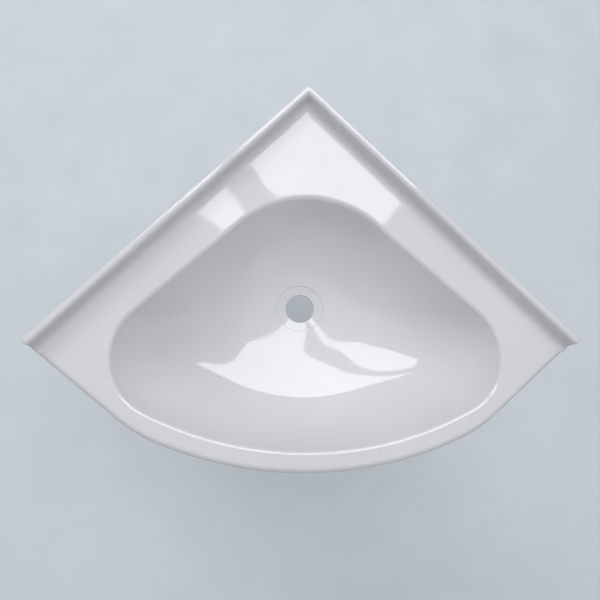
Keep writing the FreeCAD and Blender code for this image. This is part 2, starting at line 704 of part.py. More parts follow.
def side_strip(sketch, side):
    """Strip between two lines parallel to the rim's straight side and two parallel to the wall."""
    off_return = size("return_angle") - 90
    off_wall = -90 - WALL_ANGLE
    lines = {
        "outer": (f"{OFF_RETURN} - {FRAME_REACH}", off_return),
        "front": (f"{RAIL_START} + Sizes.side_rail_length", off_wall),
        "inner": (f"{OFF_RETURN} - {FRAME_REACH} - Sizes.side_rail_width", off_return),
        "back": (RAIL_START, off_wall),
    }
    placed = [(value(distance), direction) for distance, direction in lines.values()]
    corners = [crossing(placed[number - 1], placed[number], side) for number in range(4)]
    polygon(sketch, corners)
    for number, (name, (distance, _)) in enumerate(lines.items()):
        constrain(sketch, name, distance, "Distance", -1, 1, number)
    for first, second in ((0, 2), (1, 3)):
        sketch.addConstraint(Sketcher.Constraint("Parallel", first, second))
    slopes = {
        LEFT: ("-Sizes.return_angle", f"{WALL_ANGLE}"),
        RIGHT: ("Sizes.return_angle - 180", f"180 - {WALL_ANGLE}"),
    }
    for number, name in enumerate(("outer_slope", "front_slope")):
        constrain(sketch, name, slopes[side][number], "Angle", number)


def build_side_rail(side):
    """Short rail inside the straight side of the rim, screwed to the end of the wall rail."""
    body = new_body(f"{SIDES[side]}_side_rail")
    outline = new_sketch(body, "side_outline", FRAME_FOOT)
    side_strip(outline, side)
    extrude(body, "Pad", "side", outline, "Sizes.rail_height")
    into_end = "Sizes.screw_length - Sizes.rail_width + Sizes.fit"
    drill_screw(body, "tip", side, True, RAIL_START, into_end, TIP_RUN, "Sizes.screw_rise", False)


def build_front_strip():
    """Curved strip bonded inside the front of the rim."""
    body = new_body("front_strip")
    sketch = new_sketch(body, "strip_outline", f"{FRAME_TOP} - Sizes.strip_height")
    outer = f"Sizes.front_radius - {FRAME_REACH}"
    inner = f"{outer} - Sizes.strip_width"
    centre = Vector(0, size("front_radius") - size("front_reach"), 0)
    reach_along = "Sizes.front_half - Sizes.strip_setback"
    half = value(reach_along)
    ends = []
    for radius in (value(outer), value(inner)):
        ends.append(Vector(half, centre.y - math.sqrt(radius**2 - half**2), 0))
    sketch.addGeometry(
        [
            arc(centre, value(outer), flip(ends[0]), ends[0]),
            Part.LineSegment(ends[0], ends[1]),
            arc(centre, value(inner), flip(ends[1]), ends[1]),
            Part.LineSegment(flip(ends[1]), flip(ends[0])),
        ]
    )
    for joint in ((0, 2, 1, 1), (1, 2, 2, 2), (2, 1, 3, 1), (3, 2, 0, 1), (0, 3, 2, 3)):
        sketch.addConstraint(Sketcher.Constraint("Coincident", *joint))
    sketch.addConstraint(Sketcher.Constraint("PointOnObject", 0, 3, -2))
    for index in (1, 3):
        sketch.addConstraint(Sketcher.Constraint("Vertical", index))
    constrain(sketch, "outer", outer, "Radius", 0)
    constrain(sketch, "inner", inner, "Radius", 2)
    constrain(sketch, "centre", "Sizes.front_reach - Sizes.front_radius", "DistanceY", 0, 3, -1, 1)
    constrain(sketch, "right_end", reach_along, "DistanceX", -1, 1, 0, 2)
    constrain(sketch, "left_end", reach_along, "DistanceX", 0, 1, -1, 1)
    extrude(body, "Pad", "strip", sketch, "Sizes.strip_height")


def build_ledge_board():
    """Triangular board bonded under the deck between the wall rails and the bowl."""
    body = new_body("ledge_board")
    sketch = new_sketch(body, "board_outline", f"{FRAME_TOP} - Sizes.board_thickness")
    front = "Sizes.mouth_back - Sizes.board_setback"
    back = f"{RAIL_START} * sqrt(2)"
    corner = Vector(0, -value(back), 0)
    right = Vector(value(front) - value(back), -value(front), 0)
    polygon(sketch, [corner, flip(right), right])
    sketch.addConstraint(Sketcher.Constraint("PointOnObject", 0, 1, -2))
    sketch.addConstraint(Sketcher.Constraint("Horizontal", 1))
    constrain(sketch, "left_slope", f"{WALL_ANGLE} - 180", "Angle", 0)
    constrain(sketch, "right_slope", f"180 - {WALL_ANGLE}", "Angle", 2)
    constrain(sketch, "back", back, "DistanceY", 0, 1, -1, 1)
    constrain(sketch, "front", front, "DistanceY", 1, 2, -1, 1)
    extrude(body, "Pad", "board", sketch, "Sizes.board_thickness")


def build_waste_ring():
    """Ring bonded under the waste seat, which the waste's nut is tightened against."""
    body = new_body("waste_ring")
    outline = new_sketch(body, "ring_outline", f"{SEAT_UNDERSIDE} - Sizes.ring_thickness")
    waste_circle(outline, "Sizes.seat_radius + Sizes.ring_margin")
    extrude(body, "Pad", "ring", outline, "Sizes.ring_thickness")
    bore = new_sketch(body, "bore_outline", SEAT_UNDERSIDE)
    waste_circle(bore, "Sizes.waste_radius + Sizes.ring_clearance")
    extrude(body, "Pocket", "bore", bore, "Sizes.ring_thickness")


def build_screw():
    """One countersunk screw, its head at the origin and its point along +Z."""
    body = new_body("frame_screw")
    sketch = body.newObject("Sketcher::SketchObject", "screw_profile")
    support = next(item for item in body.Origin.OriginFeatures if item.Role == "XZ_Plane")
    sketch.AttachmentSupport = [(support, "")]
    sketch.MapMode = "FlatFace"
    head, shank = size("screw_head_radius"), size("screw_radius")
    shoulder, length = size("screw_head_height"), size("screw_length")
    points = [
        Vector(0, 0, 0),
        Vector(head, 0, 0),
        Vector(shank, shoulder, 0),
        Vector(shank, length - size("screw_point"), 0),
        Vector(0, length, 0),
    ]
    polygon(sketch, points)
    sketch.addConstraint(Sketcher.Constraint("Coincident", 0, 1, -1, 1))
    sketch.addConstraint(Sketcher.Constraint("Horizontal", 0))
    for index in (2, 4):
        sketch.addConstraint(Sketcher.Constraint("Vertical", index))
    constrain(sketch, "head", "Sizes.screw_head_radius", "DistanceX", -1, 1, 0, 2)
    constrain(sketch, "shank", "Sizes.screw_radius", "DistanceX", -1, 1, 2, 1)
    constrain(sketch, "shoulder", "Sizes.screw_head_height", "DistanceY", -1, 1, 2, 1)
    constrain(sketch, "taper", "Sizes.screw_length - Sizes.screw_point", "DistanceY", -1, 1, 3, 1)
    constrain(sketch, "length", "Sizes.screw_length", "DistanceY", -1, 1, 3, 2)
    turned = body.newObject("PartDesign::Revolution", "turned")
    turned.Profile = sketch
    turned.ReferenceAxis = (sketch, ["V_Axis"])
    turned.Angle = 360
    doc.recompute()
    slot = new_sketch(body, "slot_outline")
    long, wide = "Sizes.screw_head_radius", "Sizes.slot_width / 2"
    rectangle(slot, f"-{long}", f"-{wide}", long, wide)
    extrude(body, "Pocket", "slot", slot, "Sizes.slot_depth", True)
    return body


def build_frame_screws():
    """The four screws of the frame: two from the corner block and one at each tip."""
    screw = build_screw()
    copies = []
    for side in SIDES:
        along_wall = Vector(side, -1, 0).normalize()
        off_wall = Vector(-side, -1, 0).normalize()
        starts = (
            (along_wall, along_wall * value(BLOCK_START) + off_wall * value(RAIL_MIDDLE), SCREW_HEIGHT[side]),
            (off_wall, along_wall * value(TIP_RUN) + off_wall * value(FRAME_REACH), "Sizes.screw_rise"),
        )
        for heading, start, height in starts:
            start.z = value(height)
            copy = screw.Shape.copy()
            copy.Placement = Placement(start, Rotation(Vector(0, 0, 1), heading))
            copies.append(copy)
    group = doc.addObject("Part::Feature", "frame_screws")
    group.Label = "frame_screws"
    group.Shape = Part.makeCompound(copies)


def export(labels):
    """Check every object, then write one STEP file for each sub-part."""
    doc.recompute()
    for item in doc.Objects:
        if "Invalid" in item.State or "Error" in item.State:
            raise RuntimeError(f"{item.Name} could not be built")
    os.makedirs("parts", exist_ok=True)
    for label in labels:
        shape = doc.getObjectsByLabel(label)[0].Shape
        if shape.isNull() or not shape.isValid():
            raise RuntimeError(f"{label} has no valid shape")
        shape.exportStep(f"parts/{label}.step")
        print(f"{label}: {len(shape.Solids)} solid, {shape.Volume / 1000:.2f} cm3")


build_moulding()
build_corner_block()
for side in SIDES:
    build_wall_rail(side)
    build_side_rail(side)
build_front_strip()
build_ledge_board()
build_waste_ring()
build_frame_screws()
export(
    [
        "basin_moulding",
        "corner_block",
        "left_wall_rail",
        "right_wall_rail",
        "left_side_rail",
        "right_side_rail",
        "front_strip",
        "ledge_board",
        "waste_ring",
        "frame_screws",
    ]
)
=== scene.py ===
# %% [markdown]
# # A glossy white corner basin
#
# The basin is one sheet of white plastic, drawn over a mould while it is hot. Everything that shows from
# above is therefore one skin, with no joint in it: the upstand along the two walls, the flat deck, the bowl
# and the rim that turns down in front. Under it a timber frame keeps the thin sheet stiff.
#
# A sheet like that shows its shape almost only through its reflections, so each surface here is worked out
# from a formula, on a grid that follows the shape. The faces of a solid model would break the reflections.

import bmesh
import bpy
import numpy as np
from mathutils import Matrix, Vector


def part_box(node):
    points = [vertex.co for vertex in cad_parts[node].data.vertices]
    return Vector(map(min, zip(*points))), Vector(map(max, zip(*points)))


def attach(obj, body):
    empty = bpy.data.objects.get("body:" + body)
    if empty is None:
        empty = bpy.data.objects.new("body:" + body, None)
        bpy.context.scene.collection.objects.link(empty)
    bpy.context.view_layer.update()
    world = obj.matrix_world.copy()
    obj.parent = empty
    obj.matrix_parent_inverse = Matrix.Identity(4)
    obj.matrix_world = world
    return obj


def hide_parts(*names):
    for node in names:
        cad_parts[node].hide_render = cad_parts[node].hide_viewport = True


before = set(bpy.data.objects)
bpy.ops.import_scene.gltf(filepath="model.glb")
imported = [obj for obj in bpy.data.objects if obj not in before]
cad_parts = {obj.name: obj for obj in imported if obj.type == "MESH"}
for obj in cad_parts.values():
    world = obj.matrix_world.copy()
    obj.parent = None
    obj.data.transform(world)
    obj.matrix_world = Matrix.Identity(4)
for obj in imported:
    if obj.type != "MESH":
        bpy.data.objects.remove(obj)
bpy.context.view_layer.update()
MM = 0.001
low, high = (np.array(corner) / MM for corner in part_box("basin_moulding"))
print("basin box, mm:", low.round(1), high.round(1))

# %% [markdown]
# ## The camera
#
# The photograph was taken from almost straight above, a little to the left of the middle and over the front
# edge. From there the upstands hide the wall side of the rim, and the waste hole is nearly round. A camera is
# placed by three directions: where its right, its top and its back point.

# %% Camera
CAMERA_PLACE = Vector((-76.2, -367.5, 639.7)) * MM
CAMERA_RIGHT = Vector((0.9946, -0.0154, 0.1022))
CAMERA_FORWARD = Vector((0.1032, 0.2053, -0.9732))
FIELD = 1.0  # focal length as a share of the picture's width


def aim(place, forward, right):
    """Matrix of a camera: its columns are right, up and backwards, then its place."""
    back = -forward.normalized()
    side = (right - right.dot(back) * back).normalized()
    up = back.cross(side)
    return Matrix.Translation(place) @ Matrix((side, up, back)).transposed().to_4x4()


camera_data = bpy.data.cameras.new("camera")
camera_data.sensor_width = 36.0
camera_data.lens = camera_data.sensor_width * FIELD
camera = bpy.data.objects.new("camera", camera_data)
bpy.context.scene.collection.objects.link(camera)
camera.matrix_world = aim(CAMERA_PLACE, CAMERA_FORWARD, CAMERA_RIGHT)
bpy.context.scene.camera = camera
print("camera field of view, degrees:", round(np.degrees(camera_data.angle), 1))

# %% [markdown]
# ## Sizes
#
# These are the sizes that the basin is built from, in millimetres. The corner of the room is the origin, and
# heights are counted from the rim's bottom edge. The top of the upstand and the foot of the waste hole come
# from the solid model, and the front arc is worked out from the tips, the short sides and the shoulders.

# %% Sizes
WALL_LEG = 402.0  # room corner to tip
CORNER_RADIUS = 6.0
TIP_RADIUS = 2.2
LEAST_CORNER = 0.2  # radii that are left when the outline moves in past its corners
LEAST_TIP = 0.3
RETURN_SLOPE = np.radians(39.5)  # of the two short straight sides
RETURN_LENGTH = 116.7
SHOULDER_RADIUS = 160.0
SHOULDER_TURN = np.radians(16.35)
RIM_HEIGHT = 28.0
RIM_ROUND = 6.0
SHEET = 3.0
EDGE_BREAK = 0.7  # the trimmed edge of the sheet is broken with a scraper
SKIRT_HEIGHTS = (18.0, 10.0, 1.0)  # of the rows on the skirt's outside
INNER_HEIGHT = 12.0  # of the row on its inside
UPSTAND_TOP = high[2]
UPSTAND_WIDTH = 9.0
UPSTAND_ROUND = 4.0
UPSTAND_LEG = 400.0
COVE = 8.5
MITRE_RADIUS = 2.0  # where the two upstands meet, on the inside
END_ROUND = 3.0  # at the ends of the upstands
WALL_TUCK = 0.05  # the deck stops this far behind the upstand's back, so that no two faces share a plane
MOUTH_MARGIN = 21.0  # flat rim left in front of the bowl
MOUTH_ROUND = 5.0
BACK_SLOPE = np.radians(42.0)  # of the bowl's two straight back walls
BOWL_DEPTH = 110.0
BOWL_SHEET = 2.4
WASTE_REACH = 226.0
WASTE_RADIUS = 17.5
SEAT_RADIUS = 28.5
SEAT_DEPTH = 1.8
SEAT_ROUND = 0.8
SEAT_FILLET = 0.5  # where the seat meets its side
HOLE_ROUND = 0.6
DISH_RISE = 5.0  # how far the floor rises away from the seat, so that it drains
DISH_WIDTH = 60.0
DISH_POWER = 1.3
BOSS_RADIUS = 33.0
BOSS_ROUND = 0.6
WASTE_FOOT = low[2]
FIXING_RUNS = (66.0, 196.0, 326.0)
FIXING_RISE = 12.0
FIXING_RADIUS = 2.75
BOARD_THICKNESS = 9.0
STRIP_WIDTH = 11.0
STRIP_GLUE = 0.2  # between the strip and the skirt
COLUMNS = {"corner": 10, "wall": 112, "tip": 8, "return": 26, "shoulder": 36, "front": 56}

front_turn = RETURN_SLOPE - SHOULDER_TURN
front_half = WALL_LEG * np.sqrt(0.5) - RETURN_LENGTH * np.cos(RETURN_SLOPE)
front_half -= SHOULDER_RADIUS * (np.sin(RETURN_SLOPE) - np.sin(front_turn))
FRONT_RADIUS = front_half / np.sin(front_turn)
shoulder_drop = RETURN_LENGTH * np.sin(RETURN_SLOPE)
shoulder_drop += SHOULDER_RADIUS * (np.cos(front_turn) - np.cos(RETURN_SLOPE))
FRONT_REACH = WALL_LEG * np.sqrt(0.5) + shoulder_drop + FRONT_RADIUS * (1 - np.cos(front_turn))

MOUTH = {
    "back": 125.0,
    "back_radius": 110.0,
    "side_radius": 62.0,
    "front": FRONT_REACH - MOUTH_MARGIN,
    "front_radius": FRONT_RADIUS - MOUTH_MARGIN,
}
FLOOR = {
    "back": WASTE_REACH - 35.0,
    "back_radius": 33.0,
    "side_radius": 27.0,
    "front": WASTE_REACH + 37.0,
    "front_radius": 88.0,
}
FALL = 1.1  # this and the next say how the outline closes in with depth: see bowl_wall
FULLNESS = {"back": 2.6, "back_radius": 2.6, "side_radius": 2.6, "front": 3.5, "front_radius": 1.0}
print("front, mm: radius", round(FRONT_RADIUS, 1), "reach", round(FRONT_REACH, 1))

# %% [markdown]
# ## The outline of the rim
#
# Seen from above, the rim is a square corner, two short sides and a long shallow curve, joined by two
# shoulder arcs. The same outline is needed many times, a little further in each time: for the rounded edge,
# for the skirt and for the inside of the skin. So it is written once, with how far in the walls and the free
# sides lie. Each stretch always gets the same number of points, so that neighbouring outlines match.


# %% Rim outline
def arc_points(centre, radius, start, end, count):
    """Points on an arc, at even steps of the angle from start to end."""
    turn = np.linspace(start, end, count)
    return centre + radius * np.stack([np.cos(turn), np.sin(turn)], axis=1)


def mirrored(half):
    """A half outline from the back to the front, followed by its mirror image back again."""
    other = half[-2:0:-1] * np.array([-1.0, 1.0])
    return np.concatenate([half, other])


def rim_outline(wall_in=0.0, free_in=0.0):
    """Outline of the rim: straight lines and arcs, moved in by one amount at the walls and another elsewhere.

    A point on a wall at a run u and a reach v is (u - v, -u - v) over the square root of two. The runs are
    spaced so that the waste hole sees them at even angles. The shoulder's centre is one radius inside the
    straight side and one radius inside the front circle, which is a quadratic for its place along the side.
    """
    half_turn = np.sqrt(0.5)
    corner_radius = max(CORNER_RADIUS - wall_in, LEAST_CORNER)
    corner_centre = np.array([0.0, -(wall_in + corner_radius) / half_turn])
    corner = arc_points(corner_centre, corner_radius, np.pi / 2, np.pi / 4, COLUMNS["corner"])

    heading = np.array([-np.cos(RETURN_SLOPE), -np.sin(RETURN_SLOPE)])
    inward = np.array([heading[1], -heading[0]])
    off_wall = np.array([-half_turn, -half_turn])
    outer_tip = WALL_LEG * np.array([half_turn, -half_turn])
    along_wall = np.array([half_turn, -half_turn])
    turn = np.arccos(heading @ -along_wall)
    tip_radius = max(TIP_RADIUS - wall_in, LEAST_TIP)
    back_off = (free_in - wall_in * (off_wall @ inward)) / (along_wall @ inward)
    sharp_tip = outer_tip + off_wall * wall_in + along_wall * back_off
    reach_to_arc = tip_radius / np.tan(turn / 2)
    wall_end = sharp_tip - along_wall * reach_to_arc
    return_start = sharp_tip + heading * reach_to_arc
    tip_centre = wall_end + off_wall * tip_radius
    start = np.arctan2(*(wall_end - tip_centre)[::-1])
    end = np.arctan2(*(return_start - tip_centre)[::-1])
    tip = arc_points(tip_centre, tip_radius, start, end, COLUMNS["tip"])

    hole_run = WASTE_REACH * half_turn
    run_start = corner[-1] @ along_wall
    run_end = wall_end @ along_wall
    first, last = (np.arctan2(run - hole_run, hole_run) for run in (run_start, run_end))
    angles = np.linspace(first, last, COLUMNS["wall"] + 2)[1:-1]
    runs = hole_run + hole_run * np.tan(angles)
    wall = along_wall * runs[:, None] + off_wall * wall_in

    front_centre = np.array([0.0, FRONT_RADIUS - FRONT_REACH])
    from_centre = return_start + inward * (SHOULDER_RADIUS - free_in) - front_centre
    along = from_centre @ heading
    step = -along + np.sqrt(along**2 - from_centre @ from_centre + (FRONT_RADIUS - SHOULDER_RADIUS) ** 2)
    shoulder_centre = front_centre + from_centre + heading * step
    side_share = (np.arange(COLUMNS["return"]) + 0.5) / COLUMNS["return"]
    straight = return_start + heading * step * side_share[:, None]
    start = np.arctan2(*-inward[::-1])
    end = np.arctan2(*(shoulder_centre - front_centre)[::-1])
    shoulder = arc_points(shoulder_centre, SHOULDER_RADIUS - free_in, start, end, COLUMNS["shoulder"])
    front = arc_points(front_centre, FRONT_RADIUS - free_in, end, -np.pi / 2, COLUMNS["front"] + 1)[1:]
    return mirrored(np.concatenate([corner, wall, tip, straight, shoulder, front]))


rim = rim_outline()
print("rim points:", len(rim), "width and front, mm:", round(np.ptp(rim[:, 0]), 1), round(rim[:, 1].min(), 1))

# %% [markdown]
# ## The bowl
#
# At the top the bowl is a large rounded triangle, and at the bottom a small one round the waste. In between
# it closes in slowly at first and then fast, as a sheet does that is drawn into a mould: the back wall stays
# steep and turns into the floor in a tight curve, while the front is a long slope. One number, how far down
# we are, therefore sets all five sizes of the triangle. To find the wall, a ray is sent out from the middle
# of the waste hole, level, in each direction of the rim's points.


# %% Bowl wall
HOLE = np.array([0.0, -WASTE_REACH])
rays = rim - HOLE
rays = rays / np.linalg.norm(rays, axis=1)[:, None]


def far_crossing(centre_x, centre_y, radius, ray_x, ray_y):
    """Distance from the hole along a ray to the far side of a circle: the larger root of a quadratic."""
    along = ray_x * (HOLE[0] - centre_x) + ray_y * (HOLE[1] - centre_y)
    rest = (HOLE[0] - centre_x) ** 2 + (HOLE[1] - centre_y) ** 2 - radius**2
    return -along + np.sqrt(np.maximum(along**2 - rest, 0))


def bowl_wall(depth, skin=0.0):
    """Places of the bowl's wall for an array of depths (rows) by all the rays (columns).

    The outline at a depth t, from 0 to 1, is closed in by 1 - (1 - t^fall)^(1 / fullness): a superellipse.
    Its stretches are an arc at the back, a straight line, a small arc at the side and a large arc in front,
    and the direction of a ray tells which of them it meets.
    """
    depth = np.atleast_2d(depth)
    if depth.shape[0] == 1 and depth.shape[1] != len(rays):
        depth = depth.T
    size = {}
    for key, mouth in MOUTH.items():
        closed = 1 - (1 - np.clip(depth, 0, 1) ** FALL) ** (1 / FULLNESS[key])
        size[key] = mouth + (FLOOR[key] - mouth) * closed + (-skin if key == "back" else skin)
    ray_x, ray_y = np.abs(rays[:, 0]), rays[:, 1]
    back_y = -(size["back"] + size["back_radius"])
    front_y = size["front_radius"] - size["front"]
    normal_x, normal_y = np.sin(BACK_SLOPE), np.cos(BACK_SLOPE)
    heading_x, heading_y = np.cos(BACK_SLOPE), -np.sin(BACK_SLOPE)
    inner = size["back_radius"] - size["side_radius"]
    from_x = normal_x * inner
    from_y = back_y + normal_y * inner - front_y
    along = from_x * heading_x + from_y * heading_y
    rest = from_x**2 + from_y**2 - (size["front_radius"] - size["side_radius"]) ** 2
    step = -along + np.sqrt(along**2 - rest)
    side_x = from_x + heading_x * step
    side_y = front_y + from_y + heading_y * step
    spread = np.hypot(side_x, side_y - front_y)

    def clockwise(x, y):
        return np.arctan2(x, y - HOLE[1])

    bearing = np.arctan2(ray_x, ray_y)
    leaving = clockwise(normal_x * size["back_radius"], back_y + normal_y * size["back_radius"])
    arriving = clockwise(side_x + normal_x * size["side_radius"], side_y + normal_y * size["side_radius"])
    on_front = clockwise(
        side_x * size["front_radius"] / spread, front_y + (side_y - front_y) * size["front_radius"] / spread
    )
    line_offset = size["back_radius"] + back_y * normal_y
    straight = (line_offset - HOLE[1] * normal_y) / (ray_x * normal_x + ray_y * normal_y)
    reach = np.select(
        [bearing < leaving, bearing < arriving, bearing < on_front],
        [
            far_crossing(0.0, back_y, size["back_radius"], ray_x, ray_y),
            straight,
            far_crossing(side_x, side_y, size["side_radius"], ray_x, ray_y),
        ],
        far_crossing(0.0, front_y, size["front_radius"], ray_x, ray_y),
    )
    return HOLE + rays * reach[:, :, None]


mouth = bowl_wall(np.array([0.0]))[0]
print("mouth of the bowl, mm:", round(np.ptp(mouth[:, 0]), 1), "by", round(np.ptp(mouth[:, 1]), 1))

# %% [markdown]
# ## The whole skin in one grid
#
# A sheet with one hole is, to a mesh, a ring: start in the waste hole, climb the bowl, cross the deck, turn
# over the rim and come back underneath to the same hole. Every row of the grid below is one loop round the
# basin, and every column one path through it. The grid closes on itself both ways, so the skin is watertight
# without any stitching.


# %% Rows of the skin
INSIDE_ROWS = 84
OUTSIDE_ROWS = 30
SLOPE_PROBE = 0.05  # mm above and below a place, where the wall's slope there is measured
SLOPE_TURNS = 12  # how often slope and depth are settled by turns
DECK_MARGIN = 0.01  # share of the deck's width over which smooth shading bends, beside its rounded edges


def level(points, height):
    """One row: an outline at one height."""
    return np.column_stack([points, np.full(len(points), height)])


def ring(radius, height):
    """One row: a circle round the waste hole."""
    return level(HOLE + rays * radius, height)


def between(first, last, count, margin=None):
    """Rows that divide the way between two rows evenly, without the two themselves.

    A margin adds a row that share of the way from each end. Smooth shading then bends over the margin alone,
    and what lies inside it stays flat to the eye.
    """
    shares = np.linspace(0, 1, count + 2)[1:-1]
    if margin:
        shares = [margin, *shares, 1 - margin]
    return [first + (last - first) * share for share in shares]


def outward_normals(points):
    """Level direction out of a closed outline at each of its points, from its two neighbours."""
    along = np.roll(points, -1, axis=0) - np.roll(points, 1, axis=0)
    normal = np.column_stack([-along[:, 1], along[:, 0]])
    return normal / np.linalg.norm(normal, axis=1)[:, None]


def dished(row):
    """A row of the bowl with the floor's fall to the waste.

    A point rises by DISH_RISE * (1 - (1 - s)^DISH_POWER), where s goes from 0 at the seat to 1 at the end
    of the dish, times the square of its share of the bowl's depth, so that the mouth stays where it is.
    """
    from_hole = np.linalg.norm(row[:, :2] - HOLE, axis=1)
    share = np.clip((from_hole - SEAT_RADIUS - SEAT_ROUND) / DISH_WIDTH, 0, 1)
    depth = np.clip((RIM_HEIGHT - row[:, 2]) / BOWL_DEPTH, 0, 1)
    rise = DISH_RISE * (1 - (1 - share) ** DISH_POWER) * depth**2
    return row + rise[:, None] * np.array([0.0, 0.0, 1.0])


def mouth_edge():
    """Rounded edge of the bowl: a ball rolls along it, touching the deck and the wall from inside the sheet.

    At a slope a of the wall against the vertical, the ball of radius r touches it at the depth
    r * (1 - sin a). The slope changes with depth, so the two are settled by turns.
    """
    out = outward_normals(mouth)
    depth = np.full(len(rays), 0.5 * MOUTH_ROUND)
    for _ in range(SLOPE_TURNS):
        probes = (depth - SLOPE_PROBE, depth + SLOPE_PROBE)
        above, below = (bowl_wall(probe[None, :] / BOWL_DEPTH)[0] for probe in probes)
        slope = np.arctan(np.maximum(-((below - above) * out).sum(axis=1) / (2 * SLOPE_PROBE), 0))
        depth = MOUTH_ROUND * (1 - np.sin(slope))
    touch = bowl_wall(depth[None, :] / BOWL_DEPTH)[0]
    centre = touch + out * (MOUTH_ROUND * np.cos(slope))[:, None]
    rows = []
    for share in np.linspace(0, 1, 11):
        turn = slope + (np.pi / 2 - slope) * share
        place = centre - out * (MOUTH_ROUND * np.cos(turn))[:, None]
        rows.append(np.column_stack([place, RIM_HEIGHT - MOUTH_ROUND * (1 - np.sin(turn))]))
    return rows, depth / BOWL_DEPTH


def skin_rows():
    """All rows of the skin, from the foot of the waste hole over the top and back underneath."""
    floor_height = RIM_HEIGHT - BOWL_DEPTH
    seat_height = floor_height - SEAT_DEPTH
    rows = [ring(WASTE_RADIUS, WASTE_FOOT)]
    rows.append(ring(WASTE_RADIUS, seat_height - HOLE_ROUND))
    for turn in np.linspace(0, np.pi / 2, 4):
        drop = HOLE_ROUND * (1 - np.sin(turn))
        rows.append(ring(WASTE_RADIUS + HOLE_ROUND * (1 - np.cos(turn)), seat_height - drop))
    rows.append(ring(SEAT_RADIUS - SEAT_FILLET, seat_height))
    for turn in np.linspace(0, np.pi / 2, 4)[1:]:
        lift = SEAT_FILLET * (1 - np.cos(turn))
        rows.append(ring(SEAT_RADIUS - SEAT_FILLET * (1 - np.sin(turn)), seat_height + lift))
    for turn in np.linspace(0, np.pi / 2, 6):
        drop = SEAT_ROUND * (1 - np.sin(turn))
        rows.append(ring(SEAT_RADIUS + SEAT_ROUND * (1 - np.cos(turn)), floor_height - drop))
    floor_edge = level(bowl_wall(np.array([1.0]))[0], floor_height)
    bowl = between(rows[-1], floor_edge, 5)

    edge_rows, edge_depth = mouth_edge()
    shares = 1 - np.linspace(0, 1, INSIDE_ROWS + 1) ** FULLNESS["front"]
    for share in shares[:-1]:
        depth = edge_depth + (1 - edge_depth) * share
        wall = bowl_wall(depth[None, :])[0]
        bowl.append(np.column_stack([wall, RIM_HEIGHT - BOWL_DEPTH * depth]))
    rows += [dished(row) for row in bowl]
    rows += edge_rows

    deck_edge = level(rim_outline(WALL_TUCK, RIM_ROUND), RIM_HEIGHT)
    rows += between(rows[-1], deck_edge, 4, DECK_MARGIN)
    for turn in np.linspace(0, np.pi / 2, 9):
        inset = RIM_ROUND * (1 - np.sin(turn))
        rows.append(level(rim_outline(WALL_TUCK, inset), RIM_HEIGHT - RIM_ROUND * (1 - np.cos(turn))))
    rows += [level(rim, height) for height in SKIRT_HEIGHTS]
    rows += [level(rim_outline(inset, inset), 0.0) for inset in (EDGE_BREAK, SHEET - EDGE_BREAK)]
    under_deck = RIM_HEIGHT - SHEET
    rows += [level(rim_outline(SHEET, SHEET), height) for height in (EDGE_BREAK, INNER_HEIGHT, under_deck)]

    outside_floor = floor_height - BOWL_SHEET
    depths = 1 - np.linspace(1, 0, OUTSIDE_ROWS) ** FULLNESS["front"]
    outside = bowl_wall(depths, BOWL_SHEET)
    top_of_outside = level(outside[0], under_deck)
    rows += between(rows[-1], top_of_outside, 3)
    for depth, wall in zip(depths, outside):
        rows.append(dished(level(wall, under_deck + (outside_floor - under_deck) * depth)))
    boss_top = ring(BOSS_RADIUS + BOSS_ROUND, outside_floor)
    rows += between(rows[-1], boss_top, 1)
    rows += [boss_top, ring(BOSS_RADIUS, outside_floor - BOSS_ROUND), ring(BOSS_RADIUS, WASTE_FOOT)]
    rows += between(rows[-1], rows[0], 2)
    return np.array(rows)


skin = skin_rows()
print("rows and columns of the skin:", skin.shape[:2])

# %% [markdown]
# ## From a grid to a mesh
#
# A grid of points becomes faces by joining each point to its neighbours in the next row and column. When the
# grid is closed, the last row joins the first again, and the same for columns. The order of a face's corners
# decides which way it looks, so the volume is measured: if it comes out negative, all faces are turned.


# %% Grid to mesh
SHARP_ANGLE = np.radians(32.0)  # edges that turn further than this are shaded sharp


def grid_faces(rows, columns, closed_rows=True, first=0):
    """Corner numbers of the faces between rings of points, one ring per row, as one array.

    With closed_rows the last ring joins the first.
    """
    row = np.arange(rows if closed_rows else rows - 1)[:, None]
    column = np.arange(columns)[None, :]
    next_row, next_column = (row + 1) % rows, (column + 1) % columns
    corners = [row * columns + column, row * columns + next_column]
    corners += [next_row * columns + next_column, next_row * columns + column]
    return np.stack(np.broadcast_arrays(*corners), axis=-1).reshape(-1, 4) + first


def signed_volume(points, faces):
    """Volume inside a closed mesh, from the tetrahedra between its faces and the origin."""
    a, b, c, d = (points[faces[:, corner]] for corner in range(4))
    return (np.cross(a, b) * c + np.cross(a, c) * d).sum() / 6


def make_object(name, points, faces):
    """Object at the origin with this mesh, in metres, smooth but for its sharp edges."""
    mesh = bpy.data.meshes.new(name)
    mesh.from_pydata((points * MM).tolist(), [], faces)
    mesh.shade_smooth()
    mesh.set_sharp_from_angle(angle=SHARP_ANGLE)
    mesh.validate()
    piece = bpy.data.objects.new(name, mesh)
    bpy.context.scene.collection.objects.link(piece)
    return piece


skin_points = skin.reshape(-1, 3)
skin_faces = grid_faces(*skin.shape[:2])
volume = signed_volume(skin_points, skin_faces)
if volume < 0:
    skin_faces = skin_faces[:, ::-1]
print("skin: faces", len(skin_faces), "volume, cm3:", round(abs(volume) / 1000, 1))

# %% [markdown]
# ## The upstand
#
# The upstand keeps splashes off the walls. It is one section, rounded on top and swept into the deck by a
# cove, that runs along both walls and is mitred in the corner. It is made as a closed bar whose foot lies
# inside the thickness of the deck. The cove meets the deck at a tangent, so the line where they meet
# doesn't show. The foot is thinner than the rounding of the bar's ends, so a few faces cross under the
# cove at each tip, where a small dark spot is left.


# %% Upstand
UPSTAND_FOOT = RIM_HEIGHT - 0.5 * SHEET


